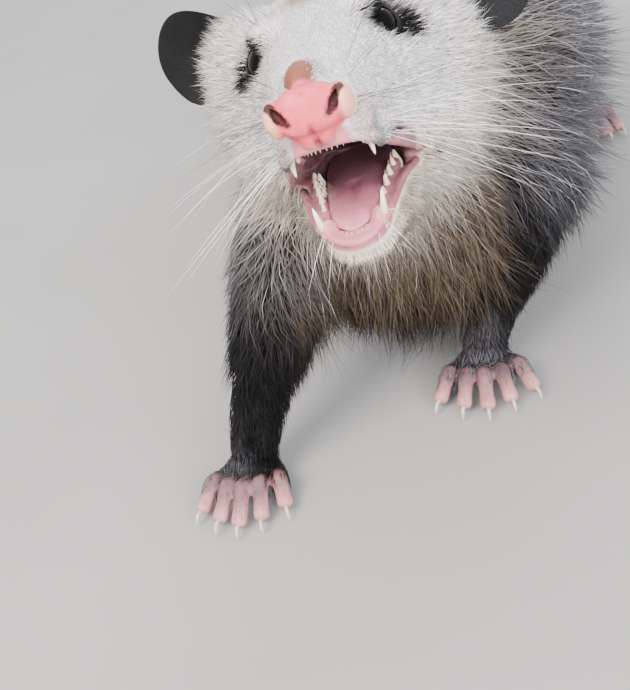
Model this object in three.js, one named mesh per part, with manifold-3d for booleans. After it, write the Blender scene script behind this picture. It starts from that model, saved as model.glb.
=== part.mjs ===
// An adult Virginia opossum, life size, standing with its forefeet apart,
// its head raised and its mouth open in a threat.
// Units are millimetres. +X is the animal's own left, +Y runs back to the tail, +Z is up.
// The floor is the plane Z = 0.

import * as THREE from "three";
import { mergeVertices } from "three/addons/utils/BufferGeometryUtils.js";
import Module from "manifold-3d";

// Driving dimensions

// The narrow slit that keeps two neighbouring pieces apart
const GAP = 0.3;

// A flat lock grows by more, because its slanting faces move out by less than its edges
const LOCK_GAP = 1.6 * GAP;

// Head: the point midway between the eyes, and how the head is held
const EYES_MIDDLE = new THREE.Vector3(60.4, 83.8, 142.8);
const HEAD_TURN = 2.3;
const HEAD_LIFT = 14.9;
const HEAD_TILT = 5.5;
const JAW_GAPE = 16.5;
const JAW_HINGE_BACK = 29;
const JAW_HINGE_DROP = 13;

const EYE_SPACING = 31.6;
const EYE_RADIUS = 6.4;
const EYE_AHEAD = 1.9;
const EYE_DROP = 2.3;
const LID_THICKNESS = 1.1;
const LID_OPENING = 4.9;
const PALATE_DROP = 23;

const EAR_LENGTH = 43;
const EAR_WIDTH = 33;
const EAR_THICKNESS = 2.2;

const TOE_RADIUS = 3.6;
const CLAW_LENGTH = 4.6;

// Coat: flat tapered locks that root in the underfur, lie back and overlap
const LOCK_LENGTH = 62;
const LOCK_WIDTH = 31;
const LOCK_DEPTH = 6;
const LOCK_SINK = 5;
const COAT_DEPTH = 10;
const ROW_GAP = 36;
const COLUMN_GAP = 31;
const LEG_LOCK_SIZE = 0.66;
const LEG_COAT_DEPTH = 4;
const BREAST_LOCK_SIZE = 0.66;
const ROOT_CLEARANCE = 3;
const COAT_SEED = 7;

const wasm = await Module();
wasm.setup();

// Solids

// A closed geometry becomes a solid whose faces point outwards
function solidOf(geometry, placing = null) {
  const bare = new THREE.BufferGeometry();
  bare.setAttribute("position", geometry.getAttribute("position").clone());
  bare.setIndex(geometry.index.clone());
  if (placing) {
    bare.applyMatrix4(placing);
  }
  const merged = mergeVertices(bare, 1e-4);
  const corners = Float32Array.from(merged.getAttribute("position").array);
  const triangles = Uint32Array.from(merged.index.array);
  if (enclosedVolume(corners, triangles) < 0) {
    for (let first = 0; first < triangles.length; first += 3) {
      const second = triangles[first + 1];
      triangles[first + 1] = triangles[first + 2];
      triangles[first + 2] = second;
    }
  }
  return new wasm.Manifold(
    new wasm.Mesh({ numProp: 3, vertProperties: corners, triVerts: triangles }),
  );
}

function enclosedVolume(corners, triangles) {
  const a = new THREE.Vector3();
  const b = new THREE.Vector3();
  const c = new THREE.Vector3();
  let sum = 0;
  for (let first = 0; first < triangles.length; first += 3) {
    a.fromArray(corners, 3 * triangles[first]);
    b.fromArray(corners, 3 * triangles[first + 1]);
    c.fromArray(corners, 3 * triangles[first + 2]);
    sum += a.dot(b.cross(c));
  }
  return sum / 6;
}

function geometryOf(solid) {
  const mesh = solid.getMesh();
  const geometry = new THREE.BufferGeometry();
  const corners = new THREE.BufferAttribute(Float32Array.from(mesh.vertProperties), 3);
  geometry.setAttribute("position", corners);
  geometry.setIndex(new THREE.BufferAttribute(Uint32Array.from(mesh.triVerts), 1));
  return geometry;
}

function joined(solids) {
  return solids.reduce((whole, piece) => whole.add(piece));
}

// The largest closed surface of a solid, without loose scraps
function largest(solid) {
  const pieces = solid.decompose();
  return pieces.reduce((best, piece) => (piece.volume() > best.volume() ? piece : best));
}

// Sweeps: a body that follows a line, with its own breadth at each station

// A station holds a place on the line, the half width there, and the reach above and below
function station(x, y, z, half, above = half, below = above) {
  return {
    at: new THREE.Vector3(x, y, z),
    reach: new THREE.Vector3(half, above, below),
  };
}

// A fullness of 1 gives an oval section, and less gives one with fuller corners
function surfaceAlong(stations, across = new THREE.Vector3(1, 0, 0), fullness = 1) {
  const line = new THREE.CatmullRomCurve3(
    stations.map((one) => one.at),
    false,
    "catmullrom",
    0.5,
  );
  const reach = new THREE.CatmullRomCurve3(
    stations.map((one) => one.reach),
    false,
    "catmullrom",
    0.5,
  );
  const length = line.getLength();

  // The section at a distance along the line; past an end the line runs on straight
  function section(distance) {
    const within = THREE.MathUtils.clamp(distance, 0, length);
    const share = line.getUtoTmapping(within / length);
    const tangent = line.getTangent(share);
    const centre = line.getPoint(share).addScaledVector(tangent, distance - within);
    const side = across.clone().addScaledVector(tangent, -across.dot(tangent)).normalize();
    const up = side.clone().cross(tangent).normalize();
    return { centre, side, up, tangent, reach: reach.getPoint(share) };
  }

  // A point on the skin, raised off it by a lift; angle 0 is the side, a quarter turn the top
  function point(distance, angle, lift = 0, scale = 1) {
    const { centre, side, up, reach: here } = section(distance);
    const cosine = Math.cos(angle);
    const sine = Math.sin(angle);
    const half = (here.x + lift) * scale * Math.sign(cosine);
    const height = ((sine > 0 ? here.y : here.z) + lift) * scale * Math.sign(sine);
    return centre
      .addScaledVector(side, half * Math.abs(cosine) ** fullness)
      .addScaledVector(up, height * Math.abs(sine) ** fullness);
  }

  return { length, section, point };
}

// The distances of the rings: a ring on each rounded end, the others evenly between
const CAP_RING = 0.25;

function ringDistances(from, to, count, roundStart, roundEnd) {
  const start = from + roundStart;
  const end = to - roundEnd;
  const distances = [from];
  distances.push(from + CAP_RING * roundStart);
  for (let ring = 0; ring <= count; ring += 1) {
    distances.push(start + ((end - start) * ring) / count);
  }
  distances.push(to - CAP_RING * roundEnd);
  distances.push(to);
  if (roundStart === 0) {
    distances.splice(1, 1);
  }
  if (roundEnd === 0) {
    distances.splice(-2, 1);
  }
  return distances;
}

function sweep(surface, options) {
  const { sides, count, grow = 0 } = options;
  const { from = 0, to = surface.length, roundStart = 0, roundEnd = 0 } = options;
  const distances = ringDistances(from, to, count, roundStart, roundEnd);
  const rings = distances.length - 1;
  const geometry = new THREE.SphereGeometry(1, sides, rings);
  const corners = geometry.getAttribute("position");
  for (let ring = 0; ring <= rings; ring += 1) {
    const distance = distances[ring];
    const inStart = roundStart > 0 ? Math.min((distance - from) / roundStart, 1) : 1;
    const inEnd = roundEnd > 0 ? Math.min((to - distance) / roundEnd, 1) : 1;
    const startScale = Math.sqrt(1 - (1 - inStart) ** 2);
    const endScale = Math.sqrt(1 - (1 - inEnd) ** 2);
    const pole = ring === 0 || ring === rings;
    const scale = pole ? 0 : startScale * endScale;
    let reached = distance;
    if (ring === 0 && roundStart > 0) {
      reached -= grow;
    }
    if (ring === rings && roundEnd > 0) {
      reached += grow;
    }
    for (let column = 0; column <= sides; column += 1) {
      const turn = ((column % sides) + 0.5) / sides;
      const place = surface.point(reached, 2 * Math.PI * turn, grow, scale);
      corners.setXYZ(ring * (sides + 1) + column, place.x, place.y, place.z);
    }
  }
  return geometry;
}

// The half space above the floor, as a broad block
const FLOOR_BLOCK = 1200;
const aboveFloor = solidOf(
  new THREE.BoxGeometry(FLOOR_BLOCK, FLOOR_BLOCK, FLOOR_BLOCK).translate(
    0,
    0.25 * FLOOR_BLOCK,
    0.5 * FLOOR_BLOCK,
  ),
);

function trimmedAtFloor(solid) {
  return solid.intersect(aboveFloor);
}

// Head, in its own axes: X to its left, "ahead" towards the nose, Z up, from between the eyes

const degrees = THREE.MathUtils.degToRad;
const headTurn = new THREE.Matrix4().makeRotationFromEuler(
  new THREE.Euler(-degrees(HEAD_LIFT), -degrees(HEAD_TILT), degrees(HEAD_TURN), "ZXY"),
);
const headPlace = new THREE.Matrix4().makeTranslation(EYES_MIDDLE).multiply(headTurn);

const hinge = new THREE.Vector3(0, JAW_HINGE_BACK, -JAW_HINGE_DROP);
const jawPlace = headPlace
  .clone()
  .multiply(new THREE.Matrix4().makeTranslation(hinge))
  .multiply(new THREE.Matrix4().makeRotationX(degrees(JAW_GAPE)))
  .multiply(new THREE.Matrix4().makeTranslation(hinge.clone().negate()));

function ahead(x, distance, z) {
  return new THREE.Vector3(x, -distance, z);
}

// A station of the head: its half width, and its top, its broadest level and its bottom
function headStation(distance, half, top, level, bottom) {
  return station(0, -distance, level, half, top - level, level - bottom);
}

const ACROSS = new THREE.Vector3(1, 0, 0);
const HEAD_FULLNESS = 0.8;

const skullSurface = surfaceAlong(
  [
    headStation(60, 8, -10, -17, -23),
    headStation(48, 11.5, -6, -18, -25.5),
    headStation(32, 15, 0, -17, -26.5),
    headStation(14, 19.5, 6, -16, -28),
    headStation(-3, 27.5, 11.5, -15, -34),
    headStation(-20, 42, 16, -15, -45),
    headStation(-38, 41, 15, -13, -43),
    headStation(-54, 28, 8, -12, -34),
  ],
  ACROSS,
  HEAD_FULLNESS,
);

const jawSurface = surfaceAlong(
  [
    headStation(56, 5.5, -26.5, -29.5, -33.5),
    headStation(47, 9.8, -26, -30, -37),
    headStation(30, 12.8, -27, -31.5, -42.5),
    headStation(10, 19, -30, -34, -50),
    headStation(-10, 26, -31, -38, -56),
    headStation(-26, 26, -32, -40, -56),
  ],
  ACROSS,
  HEAD_FULLNESS,
);

// The cheeks close the mouth behind its corners
function cheek(side, grow) {
  const reach = new THREE.Vector3(12 + grow, 28 + grow, 17 + grow);
  return solidOf(ballAt(ahead(side * 19, -17, -33), 1, reach, 9, 7), headPlace);
}

function skull(grow) {
  const shape = { sides: 18, count: 10, roundStart: 6, roundEnd: 14, grow };
  const cranium = solidOf(sweep(skullSurface, shape), headPlace);
  return joined([cranium, cheek(1, grow), cheek(-1, grow)]);
}

function jawbone(grow) {
  const shape = { sides: 14, count: 6, roundStart: 5, roundEnd: 12, grow };
  return solidOf(sweep(jawSurface, shape), jawPlace);
}

// The hollow of the mouth, half way between the palate and the opened jaw
const mouthPlace = headPlace
  .clone()
  .multiply(new THREE.Matrix4().makeTranslation(hinge))
  .multiply(new THREE.Matrix4().makeRotationX(degrees(0.5 * JAW_GAPE)))
  .multiply(new THREE.Matrix4().makeTranslation(hinge.clone().negate()));

function mouthHollow() {
  const surface = surfaceAlong([
    station(0, -70, -28, 8, 12, 10.5),
    station(0, -50, -27, 7, 9, 7.5),
    station(0, -34, -27, 9, 7.5, 6.5),
    station(0, -16, -27, 13, 6, 6),
    station(0, 0, -26, 13, 5, 5),
    station(0, 12, -25, 8, 4, 4),
  ]);
  return solidOf(sweep(surface, { sides: 12, count: 5, roundEnd: 6 }), mouthPlace);
}

// The lips: a ridge along each edge of the mouth, from corner to corner round the front

function lipRidge(points, radius, placing) {
  const surface = surfaceAlong(
    points.map((place) => station(place.x, place.y, place.z, radius)),
    new THREE.Vector3(0, 0, 1),
  );
  const shape = { sides: 5, count: 12, roundStart: 2, roundEnd: 2 };
  return solidOf(sweep(surface, shape), placing);
}

function mirrored(points) {
  const other = points.map((place) => new THREE.Vector3(-place.x, place.y, place.z));
  return [...points, ...other.reverse()];
}

function upperLip() {
  const half = [
    ahead(19.4, 8, -37),
    ahead(18, 13, -34.5),
    ahead(15.6, 22, -31.5),
    ahead(13.4, 33, -28.5),
    ahead(11, 46, -25.6),
    ahead(5, 55.5, -23.4),
  ];
  return lipRidge(mirrored(half), 2, headPlace);
}

function lowerLip() {
  const half = [
    ahead(17.5, 9, -31),
    ahead(13.6, 25, -28),
    ahead(10.8, 36, -27),
    ahead(8, 48, -27),
    ahead(3, 54, -27.6),
  ];
  return lipRidge(mirrored(half), 2, jawPlace);
}

// Teeth: blunt spikes in two rows on each jaw

const TOOTH_ROOT = 2.5;
const LOWER_GUM = -26.5;
const CANINE_RADIUS = 2.1;

// A tooth stands on the gum, its root sunk in, and leans by the lean given
function tooth(root, rise, radius, lean, placing) {
  const sides = radius > CANINE_RADIUS - 0.1 ? 5 : 4;
  const spike = new THREE.ConeGeometry(radius, Math.abs(rise), sides, 1);
  spike.translate(0, 0.5 * Math.abs(rise), 0);
  spike.rotateX(rise > 0 ? 0.5 * Math.PI : -0.5 * Math.PI);
  const corners = spike.getAttribute("position");
  for (let index = 0; index < corners.count; index += 1) {
    const share = Math.abs(corners.getZ(index) / rise);
    const x = corners.getX(index) + lean.x * share;
    const y = corners.getY(index) + lean.y * share;
    corners.setXYZ(index, x + root.x, y + root.y, corners.getZ(index) + root.z);
  }
  return solidOf(spike, placing);
}

function toothRow(upper, placing) {
  const level = upper ? -PALATE_DROP + TOOTH_ROOT : LOWER_GUM - TOOTH_ROOT;
  const way = upper ? -1 : 1;
  const teeth = [];
  for (const side of [-1, 1]) {
    for (let index = 0; index < 4; index += 1) {
      const root = ahead(side * (1.3 + 1.8 * index), (upper ? 56 : 52.5) - 0.5 * index ** 2, level);
      teeth.push(tooth(root, way * (TOOTH_ROOT + 1.8), 0.85, new THREE.Vector3(), placing));
    }
    const canine = upper ? ahead(side * 9.2, 46.5, level) : ahead(side * 7, 48.5, level);
    const length = upper ? 8 : 7.5;
    const lean = new THREE.Vector3(side * (upper ? 1.1 : 2.6), upper ? 2.5 : 2, 0);
    teeth.push(tooth(canine, way * (TOOTH_ROOT + length), CANINE_RADIUS, lean, placing));
    for (let index = 0; index < 7; index += 1) {
      const distance = 41 - 5 * index;
      const out = side * ((upper ? 10.6 : 9.4) + 0.95 * index);
      const size = index < 3 ? 1.4 : 2;
      const height = TOOTH_ROOT + (index < 3 ? 3.4 : 2.6);
      const root = ahead(out, distance, level);
      teeth.push(tooth(root, way * height, size, new THREE.Vector3(), placing));
    }
  }
  return joined(teeth);
}

// The tongue lies on the floor of the mouth and curls up a little at its tip
const tongueSurface = surfaceAlong([
  station(0, -50, -25.2, 4.4, 1.6, 2),
  station(0, -42, -24.8, 6.6, 2.4, 2.4),
  station(0, -24, -24.6, 9, 3, 3),
  station(0, -6, -25, 10.5, 3.4, 3.4),
]);

function tongue(grow) {
  const shape = { sides: 10, count: 5, roundStart: 4, roundEnd: 4, grow };
  return solidOf(sweep(tongueSurface, shape), jawPlace);
}

// The nose pad: a flat front between two wings, with a groove down its middle
const noseSurface = surfaceAlong([
  station(0, -65, -15, 6.5, 6, 6.5),
  station(0, -62, -15, 10.5, 7, 8),
  station(0, -58, -15.5, 11.2, 7.5, 8.2),
  station(0, -54.5, -15.5, 9.5, 6.5, 7.5),
]);

function nosePad(grow) {
  const shape = { sides: 14, count: 3, roundStart: 2.5, roundEnd: 2, grow };
  return solidOf(sweep(noseSurface, shape), headPlace);
}

function ballAt(place, radius, stretch = new THREE.Vector3(1, 1, 1), across = 10, down = 8) {
  const ball = new THREE.SphereGeometry(radius, across, down);
  ball.scale(stretch.x, stretch.y, stretch.z);
  ball.translate(place.x, place.y, place.z);
  return ball;
}

function noseWithNostrils() {
  let pad = nosePad(0);
  for (const side of [-1, 1]) {
    const mouthOfNostril = ballAt(
      ahead(side * 6.6, 64, -14.5),
      2,
      new THREE.Vector3(0.8, 1.6, 1.2),
      7,
      5,
    );
    pad = pad.subtract(solidOf(mouthOfNostril, headPlace));
  }
  const groove = new THREE.CylinderGeometry(0.9, 0.9, 16, 5);
  groove.rotateX(0.5 * Math.PI);
  groove.translate(0, -65.6, -16);
  return pad.subtract(solidOf(groove, headPlace));
}

// Eyes and lids

function eyeCentre(side) {
  return ahead(side * 0.5 * EYE_SPACING, EYE_AHEAD, -EYE_DROP);
}

function eyeball(side, grow) {
  return solidOf(ballAt(eyeCentre(side), EYE_RADIUS + grow, undefined, 12, 8), headPlace);
}

// The lids: an oval ring that hugs the eyeball, facing ahead, out and up, its slit running back
const LID_FACING = new THREE.Vector3(0.66, -0.68, 0.32);
const LID_ALONG = new THREE.Vector3(0.56, 0.7, -0.45);
const LID_STRETCH = 1.1;
const LID_SQUEEZE = 0.8;

function lids(side) {
  const ring = new THREE.TorusGeometry(LID_OPENING, LID_THICKNESS, 5, 12);
  const corners = ring.getAttribute("position");
  for (let index = 0; index < corners.count; index += 1) {
    const x = LID_STRETCH * corners.getX(index);
    const y = LID_SQUEEZE * corners.getY(index);
    const turn = Math.atan2(corners.getY(index), corners.getX(index));
    const long = LID_STRETCH * Math.cos(turn);
    const reach = LID_OPENING * Math.hypot(long, LID_SQUEEZE * Math.sin(turn));
    const bulge = Math.sqrt((EYE_RADIUS + 0.3) ** 2 - reach ** 2);
    corners.setXYZ(index, x, y, corners.getZ(index) + bulge);
  }
  const mirror = new THREE.Vector3(side, 1, 1);
  const facing = LID_FACING.clone().multiply(mirror).normalize();
  const along = LID_ALONG.clone().multiply(mirror);
  along.addScaledVector(facing, -along.dot(facing)).normalize();
  const up = facing.clone().cross(along);
  ring.applyMatrix4(new THREE.Matrix4().makeBasis(along, up, facing));
  const centre = eyeCentre(side);
  ring.translate(centre.x, centre.y, centre.z);
  return solidOf(ring, headPlace);
}

// Ears: thin round-tipped leaves, cupped forwards, that stand out from the crown. The right
// one is swivelled further, and each is held by its angles and its root.
const earHolds = {
  left: { side: 1, backward: 10, outward: 84, turn: 5, root: [30, 33, -1] },
  right: { side: -1, backward: -20, outward: 80, turn: 40, root: [28, 33, 3] },
};

function ear(hold, grow = 0) {
  const leaf = new THREE.SphereGeometry(1, 12, 8);
  leaf.rotateX(0.5 * Math.PI);
  const corners = leaf.getAttribute("position");
  for (let index = 0; index < corners.count; index += 1) {
    const x = corners.getX(index);
    const y = corners.getZ(index);
    const z = corners.getY(index);
    const level = 0.5 * (z + 1);
    const narrowing = 0.62 + 0.38 * Math.sin(Math.min(level * 1.9, 0.5 * Math.PI));
    const wide = x * (0.5 * EAR_WIDTH + grow) * narrowing;
    const high = z * (0.5 * EAR_LENGTH + grow) + 0.5 * EAR_LENGTH - 5;
    const cup = 0.022 * wide ** 2 * (1.1 - 0.6 * level) - 3.5 * level ** 2;
    const thick = y * (0.5 * EAR_THICKNESS + grow);
    corners.setXYZ(index, wide, thick - cup, high);
  }
  leaf.rotateX(degrees(-hold.backward));
  leaf.rotateY(hold.side * degrees(hold.outward));
  leaf.rotateZ(hold.side * degrees(hold.turn));
  leaf.translate(hold.side * hold.root[0], hold.root[1], hold.root[2]);
  return solidOf(leaf, headPlace);
}

// Trunk: the dense underfur from behind the cheeks to the root of the tail

const trunkSurface = surfaceAlong([
  station(61, 116, 116, 37, 24, 38),
  station(68, 138, 105, 48, 42, 54),
  station(77, 175, 99, 55, 56, 61),
  station(84, 235, 96, 58, 62, 60),
  station(92, 300, 93, 60, 64, 57),
  station(98, 350, 86, 54, 56, 50),
  station(101, 392, 66, 37, 36, 34),
  station(104, 418, 46, 24, 22, 22),
]);

const breastSurface = surfaceAlong([
  station(61, 112, 96, 30, 20, 16),
  station(64, 107, 76, 38, 20, 16),
  station(68, 108, 58, 40, 20, 16),
  station(71, 114, 46, 34, 14, 14),
]);

function underfur() {
  const trunk = { sides: 14, count: 9, roundStart: 12, roundEnd: 10 };
  const breast = { sides: 12, count: 4, roundStart: 10, roundEnd: 10 };
  return solidOf(sweep(trunkSurface, trunk)).add(solidOf(sweep(breastSurface, breast)));
}

// Locks of the coat

// A seeded draw between -1 and 1
function drawFrom(seed) {
  let state = seed;
  return () => {
    state = (state * 1103515245 + 12345) % 2147483648;
    return (2 * state) / 2147483648 - 1;
  };
}

// A lock lies along the surface from its sunk root to its raised tip, and leans sideways
function lock(surface, plan, grow = 0) {
  const { distance, angle, length, width, rise, lean, bends } = plan;
  const cone = new THREE.ConeGeometry(1, 1, 4, bends);
  const corners = cone.getAttribute("position");
  const { reach } = surface.section(distance);
  const radius = 0.5 * reach.x + 0.25 * (reach.y + reach.z);
  for (let index = 0; index < corners.count; index += 1) {
    // The share runs from 0 at the root to 1 at the tip, where the cone has no section
    const share = corners.getY(index) + 0.5;
    const taper = 1 - share;
    const section = taper > 1e-5 ? 1 / taper : 0;
    const broad = 0.5 * width * Math.sqrt(1 - share ** 2) * (0.78 + 0.5 * share) + grow;
    const thick = 0.5 * LOCK_DEPTH * Math.max(taper, 0) ** 0.7 + grow;
    const beyond = Math.floor(share + 1e-5) - Math.floor(taper + 1e-5);
    const across = corners.getX(index) * section * broad + lean * share ** 1.5;
    const lift = -LOCK_SINK + (rise + LOCK_SINK) * share ** 0.9;
    const along = distance + length * share + grow * beyond;
    const height = lift + corners.getZ(index) * section * thick;
    const place = surface.point(along, angle + across / radius, height);
    corners.setXYZ(index, place.x, place.y, place.z);
  }
  return solidOf(cone);
}

// Rows of locks round a surface, staggered; the sides lean downwards with the hair
function lockPlans(surface, options) {
  const { from, to, firstAngle, lastAngle, droop, seed } = options;
  const { size = 1, rise = COAT_DEPTH, rowGap = size * ROW_GAP, bends = 3 } = options;
  const draw = drawFrom(seed);
  const plans = [];
  const rows = Math.round((to - from) / rowGap);
  for (let row = 0; row <= rows; row += 1) {
    const distance = from + ((to - from) * row) / rows;
    const { reach } = surface.section(distance);
    const radius = 0.5 * reach.x + 0.25 * (reach.y + reach.z);
    const arc = radius * (lastAngle - firstAngle);
    const columns = Math.round(arc / (size * COLUMN_GAP));
    for (let column = 0; column < columns; column += 1) {
      const step = (column + 0.25 + 0.5 * (row % 2) + 0.12 * draw()) / columns;
      const angle = firstAngle + (lastAngle - firstAngle) * step;
      plans.push({
        distance: distance + 0.12 * rowGap * draw(),
        angle,
        length: size * LOCK_LENGTH * (1 + 0.14 * draw()),
        width: size * LOCK_WIDTH * (1 + 0.1 * draw()),
        bends,
        rise: rise * (0.95 + 0.1 * draw()),
        lean: -droop * Math.cos(angle) * (1 + 0.3 * draw()) + 4 * draw(),
      });
    }
  }
  return plans;
}

// The slanting parting between neck and torso, from behind the shoulders' top to the throat
const PARTING_POINT = new THREE.Vector3(66, 145, 112);
const PARTING_SLANT = 38;
const NECK_ROOT_LEAD = 7;
const TORSO_ROOT_LAG = 3;

function partingBlock(ahead, shift) {
  const size = 400;
  const block = new THREE.BoxGeometry(size, size, size);
  block.translate(0, (ahead ? -0.5 : 0.5) * size + shift, 0);
  block.rotateX(-degrees(PARTING_SLANT));
  block.translate(PARTING_POINT.x, PARTING_POINT.y, PARTING_POINT.z);
  return solidOf(block);
}

// Legs

// Each leg is one or two limbs; a limb is a line of stations from the trunk outwards
const legLimbs = {
  fore_leg_left: [
    [
      station(104, 150, 92, 22, 24),
      station(109, 142, 62, 22, 24),
      station(104, 130, 38, 17, 18),
      station(92, 116, 18, 11.5, 12),
      station(88, 109, 9, 10, 8.5),
    ],
  ],
  fore_leg_right: [
    [
      station(42, 124, 92, 20, 23),
      station(30, 100, 72, 18, 21),
      station(20, 78, 48, 14.5, 16),
      station(10, 67, 22, 11, 12),
      station(6, 61, 10, 10, 8.5),
    ],
  ],
  hind_leg_left: hindLimbs(1),
  hind_leg_right: hindLimbs(-1),
};

// A hind leg: the thigh runs forwards to the knee, the shank back down to the heel
function hindLimbs(side) {
  const x = (out) => 95 + side * out;
  return [
    [
      station(x(26), 348, 84, 25, 34),
      station(x(40), 332, 60, 25, 31),
      station(x(48), 316, 40, 17, 19),
    ],
    [
      station(x(48), 317, 42, 14, 15),
      station(x(49), 330, 26, 13, 14),
      station(x(47), 345, 12, 10, 9),
    ],
  ];
}

const limbSurfaces = {};
for (const [name, limbs] of Object.entries(legLimbs)) {
  limbSurfaces[name] = limbs.map((line) => surfaceAlong(line));
}

function leg(name, grow = 0) {
  const shape = { sides: 11, count: 5, roundStart: 12, roundEnd: 6, grow };
  return joined(limbSurfaces[name].map((surface) => solidOf(sweep(surface, shape))));
}

// Feet: a pad, five toes that fan out, and a small hooked claw on each toe

// A toe runs from the pad over its knuckle down to the tip
function toe(root, tip, radius, clawed) {
  const along = tip.clone().sub(root);
  const knuckle = root.clone().addScaledVector(along, 0.5);
  knuckle.z += 0.16 * along.length();
  const surface = surfaceAlong([
    station(root.x, root.y, root.z, 0.9 * radius),
    station(knuckle.x, knuckle.y, knuckle.z, 0.92 * radius),
    station(tip.x, tip.y, tip.z, radius),
  ]);
  const pieces = [solidOf(sweep(surface, { sides: 5, count: 3, roundEnd: 2.6 }))];
  if (clawed) {
    pieces.push(claw(tip, along.clone().setZ(0).normalize(), radius));
  }
  return joined(pieces);
}

function claw(tip, direction, radius) {
  const from = tip.clone().addScaledVector(direction, -0.4 * CLAW_LENGTH);
  const middle = tip.clone().addScaledVector(direction, 0.3 * CLAW_LENGTH);
  const end = tip.clone().addScaledVector(direction, 0.75 * CLAW_LENGTH);
  const surface = surfaceAlong([
    station(from.x, from.y, tip.z + 0.3 * radius, 0.34 * radius, 0.4 * radius),
    station(middle.x, middle.y, tip.z + 0.3 * radius, 0.28 * radius, 0.36 * radius),
    station(end.x, end.y, 0.5, 0.3),
  ]);
  return solidOf(sweep(surface, { sides: 4, count: 2 }));
}

// A foot is given by its wrist, its heading, and the reach and spread of its toes
function foot(plan) {
  const { wrist, heading, padLength, padWidth, toes, grow = 0 } = plan;
  const turn = degrees(heading);
  const forward = new THREE.Vector3(-Math.sin(turn), -Math.cos(turn), 0);
  const outward = new THREE.Vector3(-forward.y, forward.x, 0);
  function spot(length, width, z) {
    return wrist
      .clone()
      .addScaledVector(forward, length)
      .addScaledVector(outward, width)
      .setZ(z);
  }
  const back = spot(0, 0, wrist.z);
  const middle = spot(0.55 * padLength, 0, 5.5);
  const front = spot(padLength, 0, 4.4);
  const surface = surfaceAlong([
    station(back.x, back.y, back.z, 0.34 * padWidth, 7.2),
    station(middle.x, middle.y, middle.z, 0.46 * padWidth, 6.2),
    station(front.x, front.y, front.z, 0.5 * padWidth, 4.8),
  ]);
  const pad = solidOf(
    sweep(surface, { sides: 8, count: 3, roundStart: 5, roundEnd: 5, grow }),
  );
  if (grow > 0) {
    return pad;
  }
  const pieces = [pad];
  for (const one of toes) {
    const root = spot(one.from * padLength, one.rootSide * padWidth, 4.6);
    const tip = spot(one.reach, one.tipSide, 2.7);
    pieces.push(toe(root, tip, one.radius ?? TOE_RADIUS, one.clawed ?? true));
  }
  return largest(trimmedAtFloor(joined(pieces)));
}

// Five splayed toes of a forefoot, from the inner one (side -1) to the outer one (side 1)
function foreToes(inner, splay) {
  const toes = [];
  for (let index = 0; index < 5; index += 1) {
    const spread = (index - 2) / 2;
    const side = -inner * spread;
    toes.push({
      from: 0.8 - 0.35 * Math.abs(spread) ** 2,
      rootSide: 0.38 * side,
      reach: 32 - 8 * Math.abs(spread) ** 1.6,
      tipSide: splay * side,
    });
  }
  return toes;
}

// A hind foot has four clawed toes and a broad thumb without a claw, set inwards
function hindToes(inner) {
  const toes = [];
  for (let index = 0; index < 4; index += 1) {
    const spread = (index - 1.2) / 2;
    toes.push({
      from: 0.85 - 0.1 * spread ** 2,
      rootSide: -inner * 0.36 * spread,
      reach: 60 - 5 * spread ** 2,
      tipSide: -inner * 15 * spread,
    });
  }
  toes.push({
    from: 0.55,
    rootSide: inner * 0.3,
    reach: 34,
    tipSide: inner * 23,
    radius: 3.6,
    clawed: false,
  });
  return toes;
}

const footPlans = {
  fore_foot_left: {
    wrist: new THREE.Vector3(88, 111, 8.5),
    heading: -2,
    padLength: 15,
    padWidth: 25,
    toes: foreToes(-1, 17.5),
  },
  fore_foot_right: {
    wrist: new THREE.Vector3(5.5, 64, 8.5),
    heading: 3,
    padLength: 15,
    padWidth: 25,
    toes: foreToes(1, 15.5),
  },
  hind_foot_left: {
    wrist: new THREE.Vector3(142, 349, 8.5),
    heading: -10,
    padLength: 36,
    padWidth: 23,
    toes: hindToes(-1),
  },
  hind_foot_right: {
    wrist: new THREE.Vector3(48, 349, 8.5),
    heading: 10,
    padLength: 36,
    padWidth: 23,
    toes: hindToes(1),
  },
};

// Tail: thick at the root, laid along the floor in a slow curve, in three lengths

const tailSurface = surfaceAlong([
  station(102, 404, 60, 15),
  station(105, 430, 31, 14.5),
  station(108, 458, 14, 12.6),
  station(112, 495, 10.6, 11),
  station(119, 545, 8.8, 9.2),
  station(124, 600, 7, 7.4),
  station(121, 655, 5.2, 5.6),
  station(110, 704, 3.4, 3.8),
]);

const tailLengths = [
  { name: "tail_base", from: 0, to: 0.3, count: 5, sides: 14 },
  { name: "tail_middle", from: 0.3, to: 0.64, count: 6, sides: 12 },
  { name: "tail_end", from: 0.64, to: 1, count: 7, sides: 10 },
];

function tailLength(plan, grow = 0) {
  const slit = plan.from > 0 ? GAP : 0;
  const solid = solidOf(
    sweep(tailSurface, {
      sides: plan.sides,
      count: plan.count,
      from: plan.from * tailSurface.length + slit,
      to: plan.to * tailSurface.length,
      roundStart: plan.from === 0 ? 10 : 0,
      roundEnd: plan.to === 1 ? 6 : 0,
      grow,
    }),
  );
  return trimmedAtFloor(solid);
}

// Nodes: each piece is cut back by the grown shapes of the pieces that it meets

const solids = {};

const hollow = mouthHollow();
for (const [name, hold] of Object.entries(earHolds)) {
  solids[`eye_${name}`] = eyeball(hold.side, 0);
  solids[`ear_${name}`] = ear(hold).subtract(skull(GAP));
}
solids.nose = noseWithNostrils();

const headSolid = joined([skull(0), upperLip(), lids(1), lids(-1)])
  .subtract(hollow)
  .add(toothRow(true, headPlace))
  .subtract(nosePad(GAP))
  .subtract(eyeball(1, GAP))
  .subtract(eyeball(-1, GAP));
solids.head = largest(headSolid);

const headEnvelope = joined([skull(GAP), tongue(GAP)]);
solids.tongue = largest(tongue(0).subtract(skull(GAP)));
solids.lower_jaw = largest(
  joined([jawbone(0), lowerLip()])
    .subtract(hollow)
    .add(toothRow(false, jawPlace))
    .subtract(headEnvelope),
);

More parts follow.
